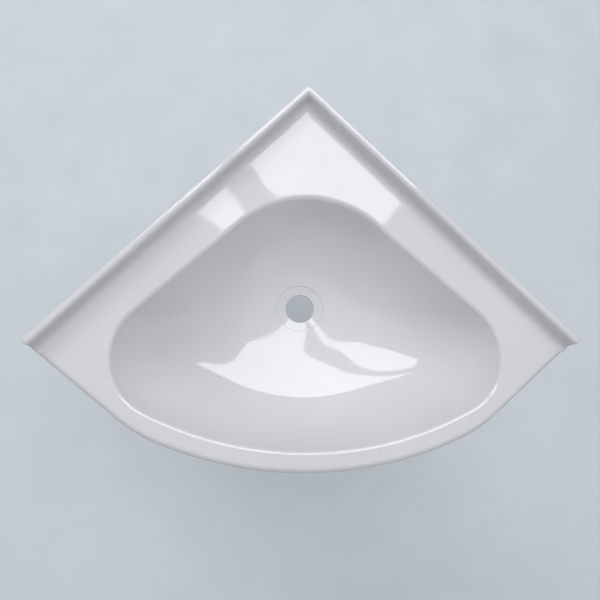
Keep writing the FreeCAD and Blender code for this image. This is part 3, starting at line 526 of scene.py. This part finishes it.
def upstand_section():
    """Section as reach and height: up the wall, over two small arcs, down, and out along the cove's arc."""
    turn = UPSTAND_ROUND
    arcs = [
        arc_points(np.array([turn, UPSTAND_TOP - turn]), turn, np.pi, np.pi / 2, 10),
        arc_points(np.array([UPSTAND_WIDTH - turn, UPSTAND_TOP - turn]), turn, np.pi / 2, 0, 10),
        arc_points(np.array([UPSTAND_WIDTH + COVE, RIM_HEIGHT + COVE]), COVE, np.pi, 1.5 * np.pi, 14),
    ]
    foot = [[0.0, UPSTAND_FOOT]], [[UPSTAND_WIDTH + COVE, UPSTAND_FOOT]]
    return np.concatenate([foot[0], *arcs, foot[1]])


def inset_section(section, amount):
    """The section with every point moved into the bar, square to its two neighbours."""
    along = np.roll(section, -1, axis=0) - np.roll(section, 1, axis=0)
    inward = np.column_stack([along[:, 1], -along[:, 0]])
    return section + amount * inward / np.linalg.norm(inward, axis=1)[:, None]


def upstand_rows():
    """The section carried along the right wall, from the room corner to the tip, and its mirror image.

    In the corner each point turns on an arc of its own: 6 mm less its reach on the outside, and never less
    than the mitre's radius on the inside. At the tip the section shrinks as it slows down, which rounds off
    the end: it moves in by r * (1 - cos a) while it runs on by r * sin a.
    """
    half_turn = np.sqrt(0.5)
    section = upstand_section()
    reach, height = section.T
    radius = np.maximum(CORNER_RADIUS - reach, MITRE_RADIUS)
    pivot = reach + radius
    rows = []
    for turn in np.linspace(0, np.pi / 4, 8):
        x = radius * np.sin(turn)
        y = -pivot / half_turn + radius * np.cos(turn)
        rows.append(np.column_stack([x, y, height]))
    for share in np.linspace(0, 1, 60)[1:]:
        run = pivot + (UPSTAND_LEG - END_ROUND - pivot) * share
        rows.append(np.column_stack([(run - reach) * half_turn, -(run + reach) * half_turn, height]))
    for turn in np.linspace(0, np.pi / 2, 8)[1:]:
        reach_in, height_in = inset_section(section, END_ROUND * (1 - np.cos(turn))).T
        run = UPSTAND_LEG - END_ROUND * (1 - np.sin(turn))
        rows.append(np.column_stack([(run - reach_in) * half_turn, -(run + reach_in) * half_turn, height_in]))
    half = np.array(rows)
    return np.concatenate([half[:0:-1] * np.array([-1.0, 1.0, 1.0]), half])


bar = upstand_rows()
bar_points = bar.reshape(-1, 3)
bar_faces = grid_faces(*bar.shape[:2], closed_rows=False)
print("upstand: rows and columns", bar.shape[:2])

# %% [markdown]
# ## Wall fixing holes
#
# The basin is hung on the walls by three screws along each wall, through the down-turned edge of the sheet
# and the rail behind it. The holes are drilled after forming, so they are cut out of the finished skin, with
# a round cutter for each hole that stands square to the wall.


# %% Fixing holes
CUTTER_PAST = 1.0  # how far a cutter stands out of the sheet on either side
CUTTER_FACETS = 32


def cutter_points(side, run):
    """A short cylinder square to a wall, as two circles.

    The point at an angle a lies at a run of run + r cos a and a height of rise + r sin a.
    """
    turn = np.linspace(0, 2 * np.pi, CUTTER_FACETS, endpoint=False)
    runs = run + FIXING_RADIUS * np.cos(turn)
    heights = FIXING_RISE + FIXING_RADIUS * np.sin(turn)
    circles = []
    for reach in (-CUTTER_PAST, SHEET + CUTTER_PAST):
        circles.append(np.column_stack([side * (runs - reach), -(runs + reach), heights / np.sqrt(0.5)]))
    return np.concatenate(circles) * np.sqrt(0.5)


def drill(piece, cutters):
    """Cut the cutters out of a piece for good, and remove them."""
    modifier = piece.modifiers.new("fixing holes", "BOOLEAN")
    modifier.object = cutters
    modifier.operation = "DIFFERENCE"
    modifier.solver = "EXACT"
    evaluated = piece.evaluated_get(bpy.context.evaluated_depsgraph_get())
    piece.data = bpy.data.meshes.new_from_object(evaluated)
    piece.modifiers.clear()
    bpy.data.objects.remove(cutters)


cylinders = [cutter_points(side, run) for side in (-1, 1) for run in FIXING_RUNS]
count = len(cylinders[0])
half = count // 2
cutter_faces = []
for number, cylinder in enumerate(cylinders):
    sides = grid_faces(2, half, closed_rows=False, first=number * count).tolist()
    caps = [list(range(number * count, number * count + half))[::-1]]
    caps.append(list(range(number * count + half, (number + 1) * count)))
    cutter_faces += sides + caps
sheet = make_object("drilled_sheet", skin_points, skin_faces)
cutters = make_object("cutters", np.concatenate(cylinders), cutter_faces)
turned = bmesh.new()
turned.from_mesh(cutters.data)
bmesh.ops.recalc_face_normals(turned, faces=turned.faces)
turned.to_mesh(cutters.data)
turned.free()
faces_before = len(sheet.data.polygons)
drill(sheet, cutters)
print("faces added by the six holes:", len(sheet.data.polygons) - faces_before)

# %% [markdown]
# ## The moulding
#
# The skin and the upstand are one sheet on the real basin, so they go into one mesh. The two flat ends of
# the bar are closed with one face each.


# %% Moulding
def bar_ends():
    """The faces that close the bar's two ends, and the order in which its other faces look outwards."""
    columns = bar.shape[1]
    first_end = np.arange(columns)
    last_end = first_end + (bar.shape[0] - 1) * columns
    across = bar[0, 2] - bar[0, 1]
    facing = np.cross(bar[1, 1] - bar[0, 1], across) @ (bar[0, 1] - bar[0].mean(axis=0))
    if facing > 0:
        return bar_faces[:, ::-1].tolist() + [first_end.tolist(), last_end[::-1].tolist()]
    return bar_faces.tolist() + [first_end[::-1].tolist(), last_end.tolist()]


def joined(name, first, second):
    """One object with the meshes of two, which are removed."""
    mesh = bpy.data.meshes.new(name)
    both = bmesh.new()
    both.from_mesh(first.data)
    both.from_mesh(second.data)
    both.to_mesh(mesh)
    both.free()
    for piece in (first, second):
        bpy.data.objects.remove(piece)
    whole = bpy.data.objects.new(name, mesh)
    bpy.context.scene.collection.objects.link(whole)
    return whole


upstand = make_object("upstand_bar", bar_points, bar_ends())
moulding = joined("basin_skin", sheet, upstand)
moulding.data.shade_smooth()
moulding.data.set_sharp_from_angle(angle=SHARP_ANGLE)
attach(moulding, "root")
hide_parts("basin_moulding")
print("moulding:", len(moulding.data.polygons), "faces")

# %% [markdown]
# ## Building materials from nodes
#
# Every material below is a small network. Its pattern is laid out in the object's own coordinates, which are
# metres here, so a texture's scale is one over the real size of its features. One function turns a colour
# code into linear values, one sets a node's inputs, one adds a node with its settings and inputs, and one
# starts a material. Where two inputs of a node share a name, as a Mix node's colours do, they are given by
# number.


# %% Material helpers
def linear(code):
    """sRGB hex colour, such as E4E5E7, as linear values."""
    channels = np.array([int(code[place:place + 2], 16) for place in (0, 2, 4)]) / 255
    low_part, high_part = channels / 12.92, ((channels + 0.055) / 1.055) ** 2.4
    return (*np.where(channels <= 0.04045, low_part, high_part), 1.0)


def set_inputs(tree, node, inputs):
    """Set or link a node's inputs. A node stands for its first output, and text for a colour code."""
    for name, source in inputs.items():
        if isinstance(source, bpy.types.Node):
            source = source.outputs[0]
        if isinstance(source, bpy.types.NodeSocket):
            tree.links.new(source, node.inputs[name])
        else:
            node.inputs[name].default_value = linear(source) if isinstance(source, str) else source


def add_node(tree, kind, inputs=None, **settings):
    """New node with its settings made and its inputs set."""
    node = tree.nodes.new("ShaderNode" + kind)
    for name, setting in settings.items():
        setattr(node, name, setting)
    set_inputs(tree, node, inputs or {})
    return node


def new_material(name):
    """Material with its node tree, its shader and the object's coordinates."""
    material = bpy.data.materials.new(name)
    material.use_nodes = True
    tree = material.node_tree
    return material, tree, tree.nodes["Principled BSDF"], add_node(tree, "TexCoord")


print("white in linear values:", np.round(linear("FFFFFF"), 3))

# %% [markdown]
# ## The glossy white sheet
#
# The face of the sheet never touches the mould, so it keeps its gloss, but it cools unevenly. That leaves
# waves of about a tenth of a millimetre over the width of a hand, which bend the reflections a little. The
# back has lain on the mould and is matt with a fine grain. The white itself is slightly cool, and varies by
# less than the eye can name. Here and there a speck of dust lies in it.


# %% Glossy white sheet
def gloss_white_sheet():
    """Glossy white where the sheet looks up or sideways, and matt with a grain where it looks down."""
    material, tree, shader, coordinates = new_material("gloss white sheet")
    place = coordinates.outputs["Object"]
    facing = add_node(tree, "SeparateXYZ", {"Vector": coordinates.outputs["Normal"]})
    back = add_node(tree, "MapRange", {"Value": facing.outputs["Z"], "From Min": -0.02, "From Max": -0.12})

    drift = add_node(tree, "TexNoise", {"Vector": place, "Scale": 1 / (120 * MM)})
    cloud = add_node(tree, "MapRange", {"Value": drift, "From Min": 0.35, "From Max": 0.65})
    white = add_node(tree, "Mix", {0: cloud, 6: "E6E7EA", 7: "E2E3E7"}, data_type="RGBA")
    dust = add_node(tree, "TexNoise", {"Vector": place, "Scale": 1 / (1.6 * MM), "Detail": 0.0})
    speck = add_node(tree, "MapRange", {"Value": dust, "From Min": 0.76, "From Max": 0.80, "To Max": 0.1})
    face = add_node(tree, "Mix", {0: speck, 6: white.outputs[2], 7: "B9BAC0"}, data_type="RGBA")
    grain = add_node(tree, "TexNoise", {"Vector": place, "Scale": 1 / (0.5 * MM), "Detail": 1.0})
    fleck = add_node(tree, "MapRange", {"Value": grain, "From Min": 0.4, "From Max": 0.6})
    behind = add_node(tree, "Mix", {0: fleck, 6: "DADBDC", 7: "E3E4E4"}, data_type="RGBA")
    colour = add_node(tree, "Mix", {0: back, 6: face.outputs[2], 7: behind.outputs[2]}, data_type="RGBA")

    wear = add_node(tree, "TexNoise", {"Vector": place, "Scale": 1 / (35 * MM), "Detail": 3.0})
    limits = {"From Min": 0.3, "From Max": 0.7, "To Min": 0.03, "To Max": 0.055}
    polish = add_node(tree, "MapRange", {"Value": wear, **limits})
    roughness = add_node(tree, "Math", {0: back, 1: 0.4, 2: polish}, operation="MULTIPLY_ADD")

    swell = add_node(tree, "TexNoise", {"Vector": place, "Scale": 1 / (60 * MM), "Detail": 1.0})
    waves = add_node(tree, "Bump", {"Height": swell, "Distance": 0.35 * MM})
    rough_back = add_node(tree, "Math", {0: grain, 1: back}, operation="MULTIPLY")
    normal = add_node(tree, "Bump", {"Height": rough_back, "Distance": 0.05 * MM, "Normal": waves})
    look = {"Base Color": colour.outputs[2], "Roughness": roughness, "Normal": normal, "IOR": 1.49}
    set_inputs(tree, shader, look)
    return material


gloss = gloss_white_sheet()
moulding.data.materials.append(gloss)
print("sheet:", len(gloss.node_tree.nodes), "nodes")

# %% [markdown]
# ## Planed softwood
#
# The rails are sawn along the trunk, so growth rings show as long lines on the sides and as arcs on the end
# grain. Both come from one pattern in space: rings round a line that runs along the rail, some way outside
# it. Early wood is pale and wide, late wood dark and narrow. Fine fibres run along the rail.

# %% Planed softwood
RING_WIDTH = 2.4  # growth rings, mm
RING_WANDER = 14.0  # how far the rings stray from circles, mm
WANDER_SIZE = 30.0  # mm across the grain
FIBRE_SIZE = 0.5
PITH = (0.0, 21.0, -34.0)  # middle of the trunk, from the origin, across a rail and down, mm


def softwood(name, bearing):
    """Wood whose grain runs along a level direction, given by its angle from +X."""
    material, tree, shader, coordinates = new_material(name)
    turned = {"Vector": coordinates.outputs["Object"], "Rotation": (0.0, 0.0, -bearing)}
    along = add_node(tree, "Mapping", turned)

    slow = add_node(tree, "Mapping", {"Vector": along, "Scale": (0.12, 1.0, 1.0)})
    wander = add_node(tree, "TexNoise", {"Vector": slow, "Scale": 1 / (WANDER_SIZE * MM)})
    shifted = {0: wander.outputs["Color"], 1: (RING_WANDER * MM,) * 3, 2: [-offset * MM for offset in PITH]}
    moved = add_node(tree, "VectorMath", shifted, operation="MULTIPLY_ADD")
    trunk = add_node(tree, "VectorMath", {0: along, 1: moved}, operation="ADD")
    across = add_node(tree, "VectorMath", {0: trunk, 1: (0.0, 1.0, 1.0)}, operation="MULTIPLY")
    radius = add_node(tree, "VectorMath", {0: across}, operation="LENGTH").outputs["Value"]
    rings = add_node(tree, "Math", {0: radius, 1: RING_WIDTH * MM}, operation="DIVIDE")
    through_ring = add_node(tree, "Math", {0: rings}, operation="FRACT")
    late = add_node(tree, "Math", {0: through_ring, 1: 4.0}, operation="POWER")

    thin = add_node(tree, "Mapping", {"Vector": along, "Scale": (0.04, 1.0, 1.0)})
    fibre = add_node(tree, "TexNoise", {"Vector": thin, "Scale": 1 / (FIBRE_SIZE * MM), "Detail": 3.0})
    streak = add_node(tree, "MapRange", {"Value": fibre, "From Min": 0.35, "From Max": 0.7, "To Max": 0.35})
    ringed = add_node(tree, "Mix", {0: late, 6: "E2C89C", 7: "BE8F58"}, data_type="RGBA")
    colour = add_node(tree, "Mix", {0: streak, 6: ringed.outputs[2], 7: "CDA873"}, data_type="RGBA")
    limits = {"From Min": 0.3, "From Max": 0.7, "To Min": 0.52, "To Max": 0.7}
    roughness = add_node(tree, "MapRange", {"Value": fibre, **limits})
    relief = add_node(tree, "Math", {0: late, 1: 0.5, 2: fibre}, operation="MULTIPLY_ADD")
    normal = add_node(tree, "Bump", {"Height": relief, "Distance": 0.12 * MM})
    set_inputs(tree, shader, {"Base Color": colour.outputs[2], "Roughness": roughness, "Normal": normal})
    return material


WOOD_BEARINGS = {
    "left_wall_rail": np.radians(225.0),
    "right_wall_rail": np.radians(-45.0),
    "left_side_rail": -RETURN_SLOPE,
    "right_side_rail": RETURN_SLOPE,
    "corner_block": np.radians(90.0),
}
finishes = {}
for name, bearing in WOOD_BEARINGS.items():
    finishes[name] = softwood(f"planed softwood, {name.replace('_', ' ')}", float(bearing))
print("softwood pieces:", len(WOOD_BEARINGS))

# %% [markdown]
# ## Plywood
#
# The board behind the bowl and the curved strip in front are plywood: thin sheets of wood glued with their
# grain crossed. The faces show long grain. The edges show the sheets one by one, every other one as pale long
# grain and the ones between as darker end grain, with thin lines of glue. The sheets lie level in the board.
# In the strip they are bent round the same centre as the rim's front.

# %% Plywood
PLIES = 5


def plywood(name, thickness, depth_of):
    """Plywood with a function that wires up how deep a place lies in it, from one face, in metres."""
    material, tree, shader, coordinates = new_material(name)
    place = coordinates.outputs["Object"]
    depth = depth_of(tree, place)
    layer = add_node(tree, "Math", {0: depth, 1: PLIES / (thickness * MM)}, operation="MULTIPLY")
    layer_pair = add_node(tree, "Math", {0: layer, 1: 2.0}, operation="MODULO")
    crossed = add_node(tree, "Math", {0: layer_pair, 1: 1.0}, operation="GREATER_THAN")
    into = add_node(tree, "Math", {0: layer}, operation="FRACT")
    off_middle = add_node(tree, "Math", {0: into, 1: 0.5}, operation="SUBTRACT")
    to_glue = add_node(tree, "Math", {0: off_middle}, operation="ABSOLUTE")
    glue = add_node(tree, "MapRange", {"Value": to_glue, "From Min": 0.43, "From Max": 0.48, "To Max": 0.55})

    streaks = add_node(tree, "Mapping", {"Vector": place, "Scale": (0.05, 1.0, 1.0)})
    long_grain = add_node(tree, "TexNoise", {"Vector": streaks, "Scale": 1 / (0.9 * MM), "Detail": 4.0})
    end_grain = add_node(tree, "TexNoise", {"Vector": place, "Scale": 1 / (0.4 * MM)})
    long_share = add_node(tree, "MapRange", {"Value": long_grain, "From Min": 0.3, "From Max": 0.7})
    end_share = add_node(tree, "MapRange", {"Value": end_grain, "From Min": 0.35, "From Max": 0.65})
    face = add_node(tree, "Mix", {0: long_share, 6: "DDBF90", 7: "C49C68"}, data_type="RGBA")
    core = add_node(tree, "Mix", {0: end_share, 6: "B48A5A", 7: "8F6840"}, data_type="RGBA")
    plies = add_node(tree, "Mix", {0: crossed, 6: face.outputs[2], 7: core.outputs[2]}, data_type="RGBA")
    colour = add_node(tree, "Mix", {0: glue, 6: plies.outputs[2], 7: "5E4430"}, data_type="RGBA")

    limits = {"From Min": 0.3, "From Max": 0.7, "To Min": 0.55, "To Max": 0.72}
    roughness = add_node(tree, "MapRange", {"Value": long_grain, **limits})
    relief = add_node(tree, "Math", {0: long_grain, 1: end_grain}, operation="ADD")
    normal = add_node(tree, "Bump", {"Height": relief, "Distance": 0.1 * MM})
    set_inputs(tree, shader, {"Base Color": colour.outputs[2], "Roughness": roughness, "Normal": normal})
    return material


def depth_in_board(tree, place):
    """Height above the board's underside."""
    height = add_node(tree, "SeparateXYZ", {"Vector": place}).outputs["Z"]
    underside = (RIM_HEIGHT - SHEET - BOARD_THICKNESS) * MM
    return add_node(tree, "Math", {0: height, 1: underside}, operation="SUBTRACT")


def level_distance(tree, place, centre_y):
    """Level distance of a place from an upright line in the middle of the basin, in metres."""
    flat = add_node(tree, "VectorMath", {0: place, 1: (1.0, 1.0, 0.0)}, operation="MULTIPLY")
    centre = (0.0, centre_y * MM, 0.0)
    return add_node(tree, "VectorMath", {0: flat, 1: centre}, operation="DISTANCE").outputs["Value"]


def depth_in_strip(tree, place):
    """Distance from the centre of the rim's front arc, less the radius of the strip's inner face."""
    radius = level_distance(tree, place, FRONT_RADIUS - FRONT_REACH)
    inner_radius = (FRONT_RADIUS - SHEET - STRIP_GLUE - STRIP_WIDTH) * MM
    return add_node(tree, "Math", {0: radius, 1: inner_radius}, operation="SUBTRACT")


finishes["ledge_board"] = plywood("plywood board", BOARD_THICKNESS, depth_in_board)
finishes["front_strip"] = plywood("bent plywood strip", STRIP_WIDTH, depth_in_strip)
print("sheets in the board:", PLIES, "each", round(BOARD_THICKNESS / PLIES, 1), "mm")

# %% [markdown]
# ## Ring and screws
#
# The ring under the waste is a matt turned plastic: the tool leaves fine circles round the hole. The screws
# are steel with a thin bright zinc plate, which is crystalline and a little warmer in places.

# %% Ring and screws
TOOL_STEP = 0.7  # mm between the circles that the tool leaves, drawn coarser than they are, so that they show


def ring_plastic():
    """Matt plastic with shallow circular grooves round the waste hole."""
    material, tree, shader, coordinates = new_material("matt turned plastic")
    place = coordinates.outputs["Object"]
    radius = level_distance(tree, place, -WASTE_REACH)
    turns = add_node(tree, "Math", {0: radius, 1: TOOL_STEP * MM}, operation="DIVIDE")
    groove = add_node(tree, "Math", {0: turns}, operation="FRACT")
    speckle = add_node(tree, "TexNoise", {"Vector": place, "Scale": 1 / (0.8 * MM)})
    dark = add_node(tree, "MapRange", {"Value": speckle, "From Min": 0.35, "From Max": 0.65})
    colour = add_node(tree, "Mix", {0: dark, 6: "CFCFCA", 7: "C2C2BC"}, data_type="RGBA")
    limits = {"From Min": 0.3, "From Max": 0.7, "To Min": 0.42, "To Max": 0.58}
    roughness = add_node(tree, "MapRange", {"Value": speckle, **limits})
    normal = add_node(tree, "Bump", {"Height": groove, "Distance": 0.04 * MM})
    set_inputs(tree, shader, {"Base Color": colour.outputs[2], "Roughness": roughness, "Normal": normal})
    return material


def zinc_steel():
    """Bright metal with small crystals, each a little rougher towards its edge."""
    material, tree, shader, coordinates = new_material("bright zinc plated steel")
    place = coordinates.outputs["Object"]
    crystal = add_node(tree, "TexVoronoi", {"Vector": place, "Scale": 1 / (0.9 * MM)})
    stain = add_node(tree, "TexNoise", {"Vector": place, "Scale": 1 / (4 * MM)})
    warm = add_node(tree, "MapRange", {"Value": stain, "From Min": 0.4, "From Max": 0.6})
    colour = add_node(tree, "Mix", {0: warm, 6: "C3C5C8", 7: "BDB8A4"}, data_type="RGBA")
    limits = {"From Max": 0.7, "To Min": 0.22, "To Max": 0.4}
    roughness = add_node(tree, "MapRange", {"Value": crystal, **limits})
    normal = add_node(tree, "Bump", {"Height": crystal, "Distance": 0.02 * MM})
    look = {"Base Color": colour.outputs[2], "Roughness": roughness, "Normal": normal, "Metallic": 1.0}
    set_inputs(tree, shader, look)
    return material


finishes["waste_ring"] = ring_plastic()
finishes["frame_screws"] = zinc_steel()
for name, finish in finishes.items():
    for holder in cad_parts[name].material_slots:
        holder.material = finish
print("finishes on the carried-over pieces:", len(finishes))

# %% [markdown]
# ## Light
#
# A glossy white thing is drawn by what it mirrors. Here that is a large window high up behind the basin.
# A bar divides it, so two bright panes slide across the deck and bend down into the bowl. The panes lie in
# a level plane, and each corner is given by the slope of the direction to it: how far it lies to the right
# and to the back for each metre up. They show in reflections alone. The even light on the sheet comes from
# soft lamps and from the pale surroundings.

# %% Window panes
PANE_HEIGHT = 12.0  # m above the basin
PANES = {
    "wide_pane": ((0.167, 0.25), (1.33, 1.50), (1.10, 1.92), (-0.93, 1.90)),
    "narrow_pane": ((0.091, 0.248), (-0.84, 1.58), (-1.03, 1.03)),
}
PANE_GLOW = 6.0


def glowing(name, colour, strength):
    """Plain light-emitting material."""
    material = bpy.data.materials.new(name)
    material.use_nodes = True
    tree = material.node_tree
    tree.nodes.clear()
    light = add_node(tree, "Emission", {"Color": colour, "Strength": strength})
    add_node(tree, "OutputMaterial", {"Surface": light})
    return material


def flat_object(name, corners, material):
    """One face between corners given in metres."""
    mesh = bpy.data.meshes.new(name)
    mesh.from_pydata([tuple(corner) for corner in corners], [], [tuple(range(len(corners)))])
    mesh.materials.append(material)
    piece = bpy.data.objects.new(name, mesh)
    bpy.context.scene.collection.objects.link(piece)
    return piece


def window_pane(name, slopes, glow):
    """Pane whose corners lie at the given slopes from the waste hole, times the height."""
    places = [HOLE * MM + PANE_HEIGHT * np.array(slope) for slope in slopes]
    pane = flat_object(name, [(*place, PANE_HEIGHT) for place in places], glow)
    pane.visible_camera = False
    pane.visible_diffuse = False
    pane.visible_shadow = False
    return pane


daylight = glowing("daylight", "F4F8FF", PANE_GLOW)
for name, slopes in PANES.items():
    window_pane(name, slopes, daylight)
print("panes:", len(PANES))

# %% [markdown]
# ## Lamps, surroundings and floor
#
# The surroundings are one even grey. One soft lamp stands high at the back, so the front wall of the bowl,
# which faces it, comes out lightest. Another hangs overhead and lights the bottom of the bowl as well as the
# deck. Both are kept out of the reflections, where the panes belong. The floor lies well below the basin,
# which hangs on its walls, and keeps the basin's soft shadow. Only the camera sees the floor's pale blue
# grey: it throws neutral light.

# %% Lamps, surroundings and floor
LAMP_SIZE = 2.6
LAMPS = {  # place, and how bright the lamp makes a white surface that faces it
    "back lamp": (Vector((-1.1, 2.9, 3.0)), 0.31),
    "overhead lamp": (Vector((0.0, -0.2, 3.6)), 0.43),
}
SURROUND_LEVEL = 0.3
SURROUND_COOL = 1.02  # blue against red
FLOOR_HEIGHT = -0.45
FLOOR_HALF = 40.0
BACKDROP = "DDE7ED"


def soft_lamp(name, place, lit_level):
    """Square lamp that looks at the origin, with its power worked out from the light that arrives there."""
    lamp_data = bpy.data.lights.new(name, "AREA")
    lamp_data.size = LAMP_SIZE
    lamp_data.energy = lit_level * np.pi**2 * place.length_squared
    lamp = bpy.data.objects.new(name, lamp_data)
    lamp.matrix_world = aim(place, -place, Vector((1.0, 0.0, 0.0)))
    lamp.visible_glossy = False
    bpy.context.scene.collection.objects.link(lamp)
    return lamp


for name, (place, lit_level) in LAMPS.items():
    lamp = soft_lamp(name, place, lit_level)
    print(name, "W:", round(lamp.data.energy, 1))


def pale_floor():
    """Matt floor: the camera sees it in the backdrop's colour, and the object gets neutral light from it."""
    material, tree, shader, coordinates = new_material("pale matt floor")
    spots = {"Vector": coordinates.outputs["Object"], "Scale": 1 / (90 * MM), "Detail": 3.0}
    mottle = add_node(tree, "TexNoise", spots)
    patch = add_node(tree, "MapRange", {"Value": mottle, "From Min": 0.35, "From Max": 0.65})
    painted = add_node(tree, "Mix", {0: patch, 6: BACKDROP, 7: "DAE4EA"}, data_type="RGBA")
    seen = add_node(tree, "LightPath").outputs["Is Camera Ray"]
    colour = add_node(tree, "Mix", {0: seen, 6: "D8D8D8", 7: painted.outputs[2]}, data_type="RGBA")
    limits = {"From Min": 0.3, "From Max": 0.7, "To Min": 0.7, "To Max": 0.85}
    roughness = add_node(tree, "MapRange", {"Value": mottle, **limits})
    set_inputs(tree, shader, {"Base Color": colour.outputs[2], "Roughness": roughness})
    return material


floor_corners = [(-1, -1), (1, -1), (1, 1), (-1, 1)]
flat_object("floor", [(x * FLOOR_HALF, y * FLOOR_HALF, FLOOR_HEIGHT) for x, y in floor_corners], pale_floor())

world = bpy.data.worlds.new("studio")
bpy.context.scene.world = world
world.use_nodes = True
world_tree = world.node_tree
seen = add_node(world_tree, "LightPath").outputs["Is Camera Ray"]
grey = (SURROUND_LEVEL, SURROUND_LEVEL, SURROUND_LEVEL * SURROUND_COOL, 1.0)
surround = add_node(world_tree, "Mix", {0: seen, 6: grey, 7: BACKDROP}, data_type="RGBA")
set_inputs(world_tree, world_tree.nodes["Background"], {"Color": surround.outputs[2]})
bpy.context.scene.view_settings.view_transform = "Standard"
print("surroundings:", world.name, SURROUND_LEVEL)
